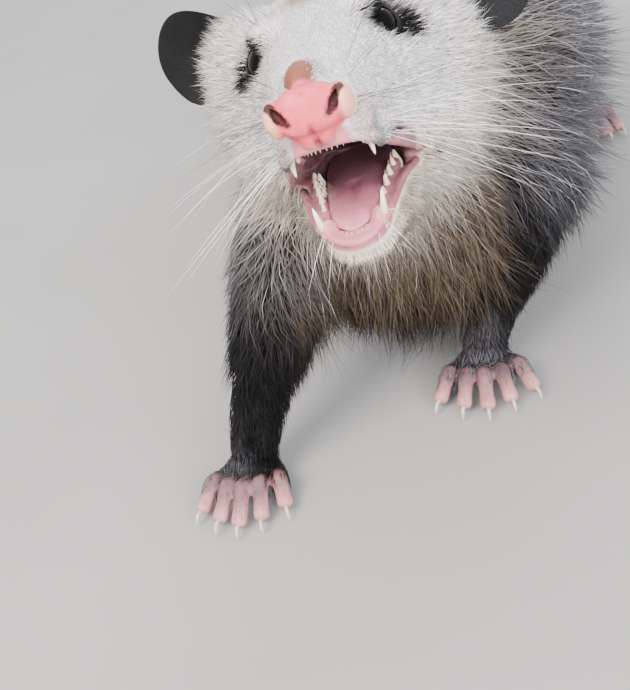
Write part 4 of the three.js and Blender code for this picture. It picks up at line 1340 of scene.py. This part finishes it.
# %% Comb the coat
# Axes, place, way it lies, length and how far the tips stand off the skin in millimetres,
# and how freely it hangs: 0 hugs the skin, 1 keeps its way
comb = [
    ("body", (62, 150, 150), (0.0, 1.0, -0.05), 46, 17, 0.3),
    ("body", (70, 190, 155), (0.0, 1.0, -0.02), 52, 19, 0.3),
    ("body", (88, 270, 158), (0.0, 1.0, -0.05), 52, 19, 0.3),
    ("body", (97, 350, 135), (0.0, 1.0, -0.40), 52, 19, 0.3),
    ("body", (102, 400, 85), (0.0, 0.8, -0.75), 34, 12, 0.4),
    ("body", (102, 425, 45), (0.0, 0.9, -0.5), 10, 3, 0.3),
    ("body", (64, 90, 84), (0.0, -0.15, -1.0), 42, 14, 0.7),
    ("body", (64, 94, 60), (0.0, 0.0, -1.0), 56, 17, 1.0),
    ("body", (42, 98, 62), (-0.1, 0.0, -1.0), 50, 15, 0.9),
    ("body", (88, 98, 62), (0.1, 0.0, -1.0), 50, 15, 0.9),
    ("body", (68, 106, 40), (0.0, 0.05, -1.0), 42, 15, 1.0),
    ("body", (78, 160, 45), (0.0, 0.8, -0.7), 32, 13, 0.5),
    ("body", (90, 260, 42), (0.0, 1.0, -0.2), 30, 12, 0.5),
    ("body", (97, 340, 45), (0.0, 1.0, -0.1), 24, 10, 0.4),
    ("body", (112, 148, 66), (0.6, 0.3, -0.8), 48, 19, 0.7),
    ("body", (104, 130, 44), (0.05, 0.1, -1.0), 22, 6, 0.4),
    ("body", (98, 122, 26), (0.0, 0.1, -1.0), 11, 3, 0.2),
    ("body", (89, 108, 12), (0.0, -0.5, -0.8), 8, 1.6, 0.1),
    ("body", (89, 98, 8), (0.0, -1.0, -0.3), 7, 1.2, 0.1),
    ("body", (30, 98, 74), (-0.2, 0.1, -1.0), 42, 12, 0.6),
    ("body", (22, 82, 54), (-0.1, 0.1, -1.0), 30, 8, 0.5),
    ("body", (14, 73, 34), (-0.05, 0.1, -1.0), 13, 3.5, 0.3),
    ("body", (7, 60, 12), (0.0, -0.5, -0.8), 8, 1.6, 0.1),
    ("body", (6, 50, 8), (0.0, -1.0, -0.3), 7, 1.2, 0.1),
    ("head", (0, -42, -3), (0.0, 1.0, 0.2), 2.4, 0.8, 0.1),
    ("head", (0, -24, 2), (0.0, 1.0, 0.2), 4, 1.3, 0.1),
    ("head", (0, 0, 12), (0.0, 1.0, 0.15), 7, 2.4, 0.2),
    ("head", (0, 26, 16), (0.0, 1.0, -0.1), 15, 6, 0.3),
    ("head", (0, 48, 8), (0.0, 1.0, -0.3), 30, 12, 0.3),
    ("head", (0, -52, -46), (0.0, 0.4, -0.9), 5, 2.4, 0.5),
    ("head", (0, -38, -54), (0.0, 0.7, -0.8), 9, 4, 0.5),
    ("head", (0, -20, -62), (0.0, 0.7, -0.8), 18, 8, 0.7),
    ("head", (0, 5, -66), (0.0, 0.4, -1.0), 30, 11, 0.7),
    ("head", (0, 30, -66), (0.0, 0.4, -1.0), 38, 13, 0.6),
]
for side in (-1, 1):
    comb += [
        ("body", (95 + side * 50, 225, 100), (side * 0.55, 0.9, -0.45), 58, 24, 0.6),
        ("body", (95 + side * 54, 300, 100), (side * 0.1, 1.0, -0.45), 52, 18, 0.3),
        ("body", (98 + side * 44, 350, 95), (side * 0.05, 0.9, -0.7), 44, 15, 0.4),
        ("body", (95 + side * 45, 240, 62), (side * 0.65, 0.8, -0.6), 58, 24, 0.75),
        ("body", (67 + side * 51, 168, 74), (side * 0.9, 0.45, -0.4), 66, 30, 0.9),
        ("body", (67 + side * 42, 150, 110), (side * 0.9, 0.6, -0.25), 58, 26, 0.8),
        ("body", (74 + side * 46, 185, 92), (side * 0.85, 0.6, -0.45), 66, 29, 0.85),
        ("body", (67 + side * 40, 128, 84), (side * 0.75, 0.3, -0.7), 52, 20, 0.8),
        ("body", (95 + side * 42, 330, 62), (side * 0.1, 0.5, -0.9), 26, 8, 0.4),
        ("body", (95 + side * 48, 322, 34), (0.0, 0.4, -1.0), 11, 3, 0.2),
        ("body", (95 + side * 48, 342, 14), (0.0, -0.2, -1.0), 8, 2, 0.1),
        ("head", (side * 11, -46, -15), (side * 0.35, 1.0, -0.05), 3, 0.9, 0.1),
        ("head", (side * 13, -32, -24), (side * 0.4, 0.9, -0.35), 5, 1.6, 0.1),
        ("head", (side * 15, -14, -2), (side * 0.5, 1.0, 0.1), 4.5, 1.4, 0.1),
        ("head", (side * 24, -2, -12), (side * 0.75, 0.8, -0.15), 11, 5, 0.5),
        ("head", (side * 22, 12, 10), (side * 0.7, 0.9, 0.25), 14, 7, 0.6),
        ("head", (side * 36, 18, -6), (side * 0.95, 0.7, 0.1), 18, 10, 0.8),
        ("head", (side * 30, 6, -28), (side * 0.9, 0.6, -0.35), 19, 10, 0.7),
        ("head", (side * 39, 30, -18), (side * 0.9, 0.8, -0.25), 28, 14, 0.7),
        ("head", (side * 31, 30, -40), (side * 0.75, 0.5, -0.65), 30, 15, 0.7),
        ("head", (side * 17, -18, -42), (side * 0.6, 0.5, -0.6), 12, 6, 0.5),
        ("head", (side * 10, -40, -42), (side * 0.5, 0.4, -0.7), 6, 2.6, 0.4),
        ("head", (side * 35, 28, 7), (side * 0.9, 0.5, 0.3), 12, 6, 0.6),
    ]

# %% Blend the combed places
turn = head_turn.to_3x3()
comb_places = np.array([head_place @ Vector(p) if axes == "head" else p for axes, p, *_ in comb], float)
comb_ways = np.array([turn @ Vector(w) if axes == "head" else w for axes, _, w, *_ in comb], float)
comb_sizes = np.array([sizes for _, _, _, *sizes in comb], float)
COMB_BLUR = 9.0
COMB_BATCH = 20000


def groomed(places):
    """The way the hair lies, its length, how far it stands off and how freely it hangs."""
    ways = np.empty((len(places), 3))
    sizes = np.empty((len(places), 3))
    for first in range(0, len(places), COMB_BATCH):
        batch = slice(first, first + COMB_BATCH)
        apart = ((places[batch, None, :] - comb_places[None]) ** 2).sum(2)
        share = 1 / (apart + COMB_BLUR**2) ** 2
        share /= share.sum(1, keepdims=True)
        ways[batch] = share @ comb_ways
        sizes[batch] = np.exp(share @ np.log(comb_sizes))
    return unit(ways), *sizes.T


print(len(comb), "places are combed")

# %% Plant the roots
ROOT_DEPTH = 0.8

face_corners = skin_corners[skin_triangles]
face_edges = face_corners[:, 1:] - face_corners[:, :1]
face_areas = 0.5 * np.linalg.norm(np.cross(face_edges[:, 0], face_edges[:, 1]), axis=1)
face_middles = face_corners.mean(1)
face_fur = 1 - skin_zones["bare"][skin_triangles].max(1)
skin_tree = BVHTree.FromPolygons(skin_corners.tolist(), skin_triangles.tolist())


def planted(weights, count, seed):
    """Roots spread over the faces of the skin by weight: their places and normals."""
    draw = np.random.default_rng(seed)
    chance = face_areas * weights
    faces = draw.choice(len(chance), count, p=chance / chance.sum())
    a, b = draw.random((2, count))
    over = a + b > 1
    a, b = np.where(over, 1 - a, a), np.where(over, 1 - b, b)
    mix = np.stack([1 - a - b, a, b], axis=1)[:, :, None]
    corners = skin_triangles[faces]
    return (mix * skin_corners[corners]).sum(1), unit((mix * skin_normals[corners]).sum(1))


def grown(roots, normals, lengths, stand, hang, seed, steps, stray):
    """Walks each hair over the skin: a path of places from its root to its tip."""
    draw = np.random.default_rng(seed)
    count = len(roots)
    own = stray * draw.normal(size=(count, 3))
    path = np.empty((count, steps + 1, 3))
    path[:, 0] = roots - ROOT_DEPTH * normals
    here = roots.copy()
    under = normals.copy()
    for step in range(1, steps + 1):
        share = step / steps
        ways = unit(groomed(here)[0] + own * (0.5 + share))
        ways = unit(ways - np.minimum((ways * under).sum(1), 0)[:, None] * under)
        free = here + ways * (lengths / steps)[:, None]
        hugging = np.empty((count, 3))
        for index, place in enumerate(free):
            spot, normal, _, _ = skin_tree.find_nearest(place)
            hugging[index] = spot + normal * (stand[index] * share**0.75)
            under[index] = normal
        here = hugging + (hang * share**0.5)[:, None] * (free - hugging)
        path[:, step] = here
    return path


# %% Make one tuft and its copies
PATCH = 0.003


def tuft_shape(sides, rings):
    """A closed cone of few faces, cut into rings: shares along it, turns round it, and faces."""
    bm = bmesh.new()
    bmesh.ops.create_cone(bm, cap_ends=True, segments=sides, radius1=1, radius2=0, depth=1)
    bmesh.ops.remove_doubles(bm, verts=bm.verts, dist=1e-5)
    for ring in range(1, rings):
        everything = bm.verts[:] + bm.edges[:] + bm.faces[:]
        cut = (0, 0, ring / rings - 0.5)
        bmesh.ops.bisect_plane(bm, geom=everything, plane_co=cut, plane_no=(0, 0, 1))
    bmesh.ops.recalc_face_normals(bm, faces=bm.faces)
    shares = np.array([v.co.z + 0.5 for v in bm.verts])
    turns = np.array([math.atan2(v.co.y, v.co.x) for v in bm.verts])
    faces = [[v.index for v in face.verts] for face in bm.faces]
    bm.free()
    return shares, turns, faces


def tufts(
    name, path, normals, widths, wool, tips, unwrap, sides=3, blunt=0.55, flat=0.5, fade=(0.15, 0.9)
):
    """One mesh of tufts along their paths, coloured from wool to tips, with its bake patches."""
    count, rings = path.shape[0], path.shape[1] - 1
    shares, turns, faces = tuft_shape(sides, rings)
    ring = np.rint(shares * rings).astype(int)
    ahead = unit((path[:, 1:] - path[:, :-1]).reshape(-1, 3)).reshape(count, rings, 3)
    ahead = np.concatenate([ahead, ahead[:, -1:]], axis=1)[:, ring]
    out = np.repeat(normals[:, None], len(shares), axis=1)
    side = unit(np.cross(ahead, out).reshape(-1, 3)).reshape(ahead.shape)
    up = np.cross(ahead, side)
    swelling = 0.55 + 0.45 * np.sin(math.pi * np.clip(shares * 1.4, 0, 0.5))
    half = 0.5 * widths[:, None] * ((1 - shares) ** blunt * swelling)[None]
    corners = path[:, ring] + (half * np.cos(turns))[..., None] * side
    corners = corners + (flat * half * np.sin(turns))[..., None] * up
    mesh = bpy.data.meshes.new(name)
    per = len(shares)
    sizes = np.tile([len(face) for face in faces], count)
    around = np.concatenate([np.array(face) for face in faces])
    loops = (around[None] + per * np.arange(count)[:, None]).ravel()
    mesh.vertices.add(count * per)
    mesh.vertices.foreach_set("co", corners.ravel())
    mesh.loops.add(len(loops))
    mesh.loops.foreach_set("vertex_index", loops)
    mesh.polygons.add(len(sizes))
    mesh.polygons.foreach_set("loop_start", np.concatenate([[0], np.cumsum(sizes)[:-1]]))
    mesh.update(calc_edges=True)
    mesh.validate()
    thing = bpy.data.objects.new(name, mesh)
    bpy.context.scene.collection.objects.link(thing)
    blend = soft_step(shares, *fade)[None, :, None]
    keep_colours(thing, "tint", (wool[:, None] + blend * (tips - wool)[:, None]).reshape(-1, 3))
    patch = PATCH * np.stack([0.5 * np.cos(turns), shares - 0.5], axis=1)
    places = (unwrap[:, None] + patch[None]).reshape(-1, 2)
    layer = mesh.uv_layers.new(name="OFBake")
    layer.data.foreach_set("uv", places[loops].ravel().astype(np.float32))
    return thing


def unwrapped(places, start, end):
    """Places on the skin unrolled round a line: the turn round it, and the share along it."""
    start, end = np.array(start, float), np.array(end, float)
    along = (end - start) / np.linalg.norm(end - start)
    off = places - start
    share = off @ along / np.linalg.norm(end - start)
    side = unit(np.cross(along, (0, 0, 1.0))[None])[0]
    up = np.cross(side, along)
    turn = np.arctan2(off @ up, off @ side) / (2 * math.pi) + 0.5
    return np.clip(np.stack([turn, share], axis=1), 0.01, 0.99)


print("a tuft of two steps has", len(tuft_shape(3, 2)[2]), "faces")

# %% [markdown]
# The coat grows in layers. Broad woolly tufts make the soft body of it, thin guard hairs
# stand over them and reach further, and the face, legs and feet get short fine hairs that are
# closer together. Hairs near each other lean towards a leader, because damp or long fur
# gathers into pointed locks. Each layer is split by place, so no piece is too large.

# %% Grow the long coat
face_lengths = groomed(face_middles)[1]
face_head = to_head(face_middles)
on_head = (face_head[:, 1] < 44) & (face_middles[:, 1] < 140) & (face_middles[:, 2] > 70)
long_share = face_fur * soft_step(face_lengths, 13, 24)
short_share = face_fur * (1 - soft_step(face_lengths, 16, 27))


def gathered(path, roots, every, pull, seed):
    """Leans the tips of hairs towards the nearest leader, one hair in so many."""
    draw = np.random.default_rng(seed)
    leaders = draw.choice(len(roots), max(len(roots) // every, 2), replace=False)
    tree = tree_of([Vector(place) for place in roots[leaders]])
    own = leaders[np.array([tree.find(place)[1] for place in roots])]
    share = np.linspace(0, 1, path.shape[1])[None, :, None] ** 1.3
    force = pull * (0.5 + draw.random((len(roots), 1, 1)))
    offset = roots[own] - roots
    return path + force * share * (path[own] - path - (1 - share) * offset[:, None])


LOWEST_HAIR = 0.4
PALE_HAIRS_FROM, PALE_HAIRS_FULL = 68, 112


def coat_piece(
    name, weights, count, seed, length, stand, width, every, pull, line, steps, stray, pale=None, **look
):
    """Plants, grows, gathers and colours one layer of the coat on one part of the body."""
    draw = np.random.default_rng(seed + 1)
    roots, normals = planted(weights, count, seed)
    _, lengths, stands, hang = groomed(roots)
    lengths = lengths * length * draw.uniform(0.7, 1.15, count)
    stands = stands * stand * draw.uniform(0.6, 1.1, count)
    path = grown(roots, normals, lengths, stands, hang, seed + 2, steps, stray)
    path = gathered(path, roots, every, pull, seed + 3)
    path[..., 2] = np.maximum(path[..., 2], LOWEST_HAIR)
    widths = draw.uniform(*width, count)
    wool, tips = colours_at(roots + 2 * normals)
    lift = draw.uniform(0.84, 1.16, (count, 1))
    wool, tips = np.minimum(wool * lift, 1), np.minimum(tips * lift, 1)
    if pale:
        often, code, much = pale
        often = often * soft_step(roots[:, 2], PALE_HAIRS_FROM, PALE_HAIRS_FULL)
        chosen = (draw.random(count) < often)[:, None]
        tips = np.where(chosen, tips + much * (rgb(code) - tips), tips)
    return tufts(name, path, normals, widths, wool, tips, unwrapped(roots, *line), **look)


SPINE = ((70, 100, 95), (100, 420, 70))
SKULL = ((49, 27, 128), (62, 135, 120))
front = face_middles[:, 1] < 190
middle = (face_middles[:, 1] >= 190) & (face_middles[:, 1] < 300)
rear = face_middles[:, 1] >= 300
# Share of the groomed length and stand, widths, hairs to a leader and how they are pulled to it
WOOL_CUT = {"length": 0.74, "stand": 0.78, "width": (0.5, 1.25), "every": 7, "pull": 0.35}
HAIR_CUT = {"length": 1.0, "stand": 1.0, "width": (0.18, 0.36), "every": 6, "pull": 0.4}
# Steps of growth and stray; of the long hairs also how often and how much they are pale
WOOL_WAY = {"line": SPINE, "steps": 2, "stray": 0.26}
HAIR_WAY = {"line": SPINE, "steps": 3, "stray": 0.22, "pale": (0.4, "e9eaf0", 0.5), "fade": (0.3, 0.7)}
coat = []
for name, where, tufts_count, hairs_count, seed in (
    ("front", front, 19800, 12200, 100),
    ("middle", middle, 13000, 9000, 200),
    ("rear", rear, 11000, 7000, 300),
):
    weights = long_share * where * (1 + 1.2 * soft_step(-face_middles[:, 1], -118, -98))
    wool = coat_piece("wool_" + name, weights, tufts_count, seed, **WOOL_CUT, **WOOL_WAY)
    hairs = coat_piece("guard_hair_" + name, weights, hairs_count, seed + 10, **HAIR_CUT, **HAIR_WAY)
    coat += [wool, hairs]
    print(name, [len(thing.data.polygons) for thing in coat[-2:]])

# %% Grow the short coat
SHORT_CUT = {"length": 1.0, "stand": 0.8, "every": 8, "pull": 0.35, "steps": 2, "stray": 0.2}
FOOT_CUT = {"length": 0.5, "stand": 0.5, "every": 3, "pull": 0.1, "steps": 2, "stray": 0.35}

left = face_head[:, 0] > 0
for name, where, count, seed in (
    ("face_left", on_head & left, 19000, 400),
    ("face_right", on_head & ~left, 19000, 500),
    ("legs", ~on_head, 13000, 600),
):
    weights = short_share * where / np.maximum(face_lengths, 3)
    line, width = (SPINE, (0.4, 0.8)) if name == "legs" else (SKULL, (0.24, 0.5))
    short = {"width": width, "line": line, **SHORT_CUT}
    coat.append(coat_piece("short_hair_" + name, weights, count, seed, **short))
    print(name, len(coat[-1].data.polygons))

foot_top = skin_zones["foot"][skin_triangles].min(1) * (face_middles[:, 2] > 6)
coat.append(coat_piece("foot_hair", foot_top, 900, 700, width=(0.14, 0.24), line=SPINE, **FOOT_CUT))

# %% [markdown]
# Whiskers are stiff, thick hairs that taper evenly and bend down a little under their own
# weight. They stand in rows on the muzzle and chin, over the eyes and on the cheeks. Those
# over the eyes, and the front and top rows of the muzzle, are dark, and the rest are white.

# %% Set the whiskers
WHISKER_STEPS = 8

# Place on the head, direction, length, colour and how many grow round that place
whisker_rows = [
    ((9.5, -47, -16), (0.85, -0.3, 0.1), 26, "191513", 3),
    ((11.0, -41, -21), (0.95, 0.0, -0.2), 42, "efebe5", 4),
    ((13.0, -34, -25), (0.9, 0.2, -0.5), 46, "f4f0ea", 5),
    ((13.5, -28, -19), (0.95, 0.3, 0.0), 44, "efebe5", 3),
    ((9.5, -40, -9), (0.7, 0.1, 0.65), 26, "1a1614", 3),
    ((13.5, -10, 7), (0.35, 0.55, 0.75), 26, "171312", 4),
    ((30, 8, -22), (0.9, 0.3, -0.3), 40, "efebe5", 3),
    ((7, -44, -44), (0.35, -0.5, -0.7), 18, "efebe5", 3),
]


def whiskers(name, pick):
    """The whiskers of one colour on both sides, as long tapered hairs."""
    draw = np.random.default_rng(900)
    roots, paths, lengths, colours = [], [], [], []
    share = np.linspace(0, 1, WHISKER_STEPS + 1)[:, None]
    for place, way, length, code, count in whisker_rows:
        for side in (-1, 1):
            for _ in range(count):
                shift, turn = draw.normal(size=3) * (1.4, 2.6, 1.2), draw.normal(size=3) * 0.2
                size = draw.uniform(0.7, 1.1)
                if (code < "8") != (pick == "dark"):
                    continue
                root = Vector(place) + Vector(shift)
                root = head_place @ Vector((side * root.x, root.y, root.z))
                spot, normal, _, _ = skin_tree.find_nearest(root)
                x, y, z = np.array(way) + turn
                direction = head_turn.to_3x3() @ Vector((side * x, y, z)).normalized()
                droop = np.array((0, 0, -0.24 * length * draw.uniform(0.4, 1.3)))
                droop = droop + 0.12 * length * np.array(normal)
                start = np.array(spot - ROOT_DEPTH * normal)
                paths.append(start + share * np.array(direction) * length * size + share**2 * droop)
                roots.append(start)
                lengths.append(length * size)
                colours.append(rgb(code))
    roots, paths, colours = np.array(roots), np.array(paths), np.array(colours)
    normals = unit(np.cross(paths[:, -1] - paths[:, 0], (0.3, 0.2, 1.0)))
    widths = 0.16 + 0.0013 * np.array(lengths)
    bake = unwrapped(roots, *SKULL)
    shape = {"sides": 4, "blunt": 0.75, "flat": 1.0}
    return tufts(name, paths, normals, widths, colours, colours, bake, **shape)


coat += [whiskers("dark_whiskers", "dark"), whiskers("pale_whiskers", "pale")]
print("whiskers", [len(thing.data.polygons) for thing in coat[-2:]])

# %% [markdown]
# ## Surfaces
#
# Each material starts from what the real one does with light. Pictures could be wrapped on
# the pieces, but patterns worked out from the pieces' own coordinates have no seams, and as
# those are in metres, the scales of the patterns are real sizes.

# %% Mix the surfaces
NOISE, CELLS = "ShaderNodeTexNoise", "ShaderNodeTexVoronoi"


def mottle(tree, size, detail, *stops):
    """Soft patches of about a size in millimetres, between two colours."""
    place = node(tree, "ShaderNodeTexCoord").outputs["Object"]
    patches = node(tree, NOISE, Vector=place, Scale=1 / (size * MILLIMETRE), Detail=detail)
    return node(tree, "ShaderNodeValToRGB", stops=stops, Fac=patches.outputs["Fac"]).outputs["Color"]


def glazed(tree, colour):
    """A colour laid over the tint that the vertices carry, as a glaze over paint."""
    tint = node(tree, "ShaderNodeAttribute", {"attribute_name": "tint"}).outputs["Color"]
    settings = {"data_type": "RGBA", "blend_type": "MULTIPLY"}
    return node(tree, "ShaderNodeMix", settings, Factor=1.0, i6=tint, i7=colour).outputs[2]


def relief(tree, shader, *patterns):
    """Raises patterns on a surface, each a texture, its size, detail, depth and strength."""
    place = node(tree, "ShaderNodeTexCoord").outputs["Object"]
    under = {}
    for kind, size, detail, depth, strength in patterns:
        height = node(tree, kind, Vector=place, Scale=1 / (size * MILLIMETRE), Detail=detail).outputs[0]
        reach = {"Distance": depth * MILLIMETRE, "Strength": strength}
        bump = node(tree, "ShaderNodeBump", Height=height, **reach, **under)
        under = {"Normal": bump.outputs["Normal"]}
    fill(tree, shader, **under)


# Skin: light passes a little way into it; dull where dry, glossy where wet, finely creased
hide, tree, shader = material("hide")
wet = node(tree, "ShaderNodeAttribute", {"attribute_name": "wet"}).outputs["Fac"]
fill(
    tree,
    shader,
    Base_Color=glazed(tree, mottle(tree, 5, 4, (0.3, "e2dcdc"), (0.7, "ffffff"))),
    Roughness=node(tree, "ShaderNodeMapRange", Value=wet, i3=0.62, i4=0.2).outputs[0],
    Specular_IOR_Level=0.2,
    Subsurface_Weight=0.12,
    Subsurface_Radius=(1.0, 0.35, 0.2),
    Subsurface_Scale=1.2 * MILLIMETRE,
)
relief(tree, shader, (CELLS, 0.75, 0, 0.12, 0.8), (NOISE, 2.4, 3, 0.3, 0.6))

# Hair: a soft dull gloss, and no bump, as the strands themselves make the texture
hair, tree, shader = material("hair")
streaks = glazed(tree, mottle(tree, 3, 2, (0.3, "ebe9e8"), (0.7, "ffffff")))
fill(tree, shader, Base_Color=streaks, Roughness=0.58, Specular_IOR_Level=0.15)

# Enamel: creamy, smooth and wet, browner near the gum
enamel, tree, shader = material("enamel")
stops = ((0.15, "f1ece1"), (0.8, "cdb9a0"))
near_gum = node(tree, "ShaderNodeAttribute", {"attribute_name": "root"}).outputs["Fac"]
stain = node(tree, "ShaderNodeValToRGB", stops=stops, Fac=near_gum).outputs["Color"]
fill(tree, shader, Base_Color=stain, Roughness=0.22)
relief(tree, shader, (NOISE, 0.6, 2, 0.03, 0.5))

# Tongue: mauve and wet, with fine papillae all over
flesh, tree, shader = material("tongue_surface")
fill(
    tree,
    shader,
    Base_Color=glazed(tree, mottle(tree, 6, 3, (0.3, "d8d0d2"), (0.7, "ffffff"))),
    Roughness=0.3,
    Subsurface_Weight=0.15,
    Subsurface_Radius=(1.0, 0.35, 0.25),
    Subsurface_Scale=1.5 * MILLIMETRE,
)
relief(tree, shader, (CELLS, 0.6, 0, 0.16, 0.9))

# Eye: a black iris and pupil under a clear wet cornea, so it looks like polished jet
jet, tree, shader = material("wet_jet")
depths = mottle(tree, 2, 2, (0.3, "010101"), (0.7, "040302"))
fill(tree, shader, Base_Color=depths, Roughness=0.07, Specular_IOR_Level=0.09)

# Ear: thin naked charcoal skin, dull, with fine creases
leaf, tree, shader = material("ear_skin")
charcoal = mottle(tree, 7, 4, (0.3, "040304"), (0.75, "0b090a"))
fill(tree, shader, Base_Color=charcoal, Roughness=0.6, Specular_IOR_Level=0.2)
relief(tree, shader, (CELLS, 1.3, 0, 0.15, 0.7))

# Claw: pale glossy horn with a faint grain
horn, tree, shader = material("horn")
grain = mottle(tree, 1.5, 2, (0.3, "a18b77"), (0.7, "c9b5a0"))
fill(tree, shader, Base_Color=grain, Roughness=0.35)

# Tail: small scales in rings, black at the root and pale pink beyond, with dark seams
SCALE_SIZE = 1.7
scales, tree, shader = material("scaly_skin")
place = node(tree, "ShaderNodeAttribute", {"attribute_name": "straight"}).outputs["Vector"]
place = node(tree, "ShaderNodeVectorMath", {"operation": "SCALE"}, Vector=place, Scale=MILLIMETRE)
links = {"Vector": place.outputs["Vector"], "Scale": 1 / (SCALE_SIZE * MILLIMETRE)}
seam = node(tree, CELLS, {"feature": "DISTANCE_TO_EDGE"}, **links).outputs["Distance"]
stops = ((0.0, "6d5650"), (0.16, "ffffff"))
plate = node(tree, "ShaderNodeValToRGB", stops=stops, Fac=seam).outputs["Color"]
stops = ((0.0, "000000"), (0.2, "ffffff"))
rise = node(tree, "ShaderNodeValToRGB", stops=stops, Fac=seam).outputs["Color"]
bump = node(tree, "ShaderNodeBump", Height=rise, Distance=0.18 * MILLIMETRE, Strength=0.8)
fill(tree, shader, Base_Color=glazed(tree, plate), Roughness=0.5, Normal=bump.outputs["Normal"])
print("eight surfaces mixed")

# %% [markdown]
# ## Putting it all together
#
# The pieces drawn in the head's axes are turned into the pose, then everything goes to the
# frame's metres. Each piece rides on the one body of the frame. The skin and the coat stand
# for the furred solids, and the other pieces for the solid of the same part.

# %% Dress the pieces
TAIL_PINK, TAIL_BLACK, TAIL_WHITE = rgb("b8978c"), rgb("120f10"), rgb("cfc0b5")
TONGUE_FRONT, TONGUE_REAR_SHADE = rgb("c97a88"), rgb("8a616b")

tongue_corners, _, _ = arrays_of(tongue)
# Painted shade: the tongue darkens from pink at its tip to a dark mauve at its root, deep in the mouth
keep_colours(tongue, "tint", rising(TONGUE_FRONT, TONGUE_REAR_SHADE, tongue_corners[:, 1], -46, -12))

for thing in (teeth, tongue, *eyes.values(), *ears.values()):
    thing.data.transform(head_place)

teeth_corners, _, _ = arrays_of(teeth)
gums = tree_of([Vector(place) for place in skin_corners[skin_zones["wet"] > 0.5]])
gum_away = np.array([gums.find(place)[2] for place in teeth_corners])
keep_values(teeth, "root", 1 - soft_step(gum_away, 0.5, 4.0))
tail_places = np.empty(len(tail.data.vertices) * 3, np.float32)
tail.data.attributes["straight"].data.foreach_get("vector", tail_places)
tail_places = tail_places.reshape(-1, 3)
tail_along = tail_places[:, 1]
dark_root = 1 - soft_step(tail_along + 11 * wobble(tail_places.astype(float), 12.0), 64, 106)
tail_colour = rising(TAIL_PINK, TAIL_WHITE, tail_along, 120, 300)
keep_colours(tail, "tint", mixed(tail_colour, TAIL_BLACK, dark_root))

surfaces = [(skin, hide, "pale_fur"), (teeth, enamel, "tooth_enamel"), (tongue, flesh, "wet_tongue")]
surfaces += [(claws, horn, "claw_horn"), (tail, scales, "tail_skin")]
surfaces += [(thing, jet, "wet_eye") for thing in eyes.values()]
surfaces += [(thing, leaf, "black_skin") for thing in ears.values()]
for thing in coat:
    on_face = "face" in thing.name or "whisker" in thing.name
    surfaces.append((thing, hair, "pale_fur" if on_face else "grey_fur"))
for thing, surface, slot in surfaces:
    thing.data.transform(to_frame)
    thing.data.polygons.foreach_set("use_smooth", [True] * len(thing.data.polygons))
    thing.data.materials.clear()
    thing.data.materials.append(surface)
    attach(thing, "root")
    print(thing.name, len(thing.data.polygons))

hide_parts(*SKIN_NODES)
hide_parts("tongue")
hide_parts("tail_base", "tail_middle", "tail_end")
for part in (eyes, ears):
    for name, thing in part.items():
        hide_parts(name)
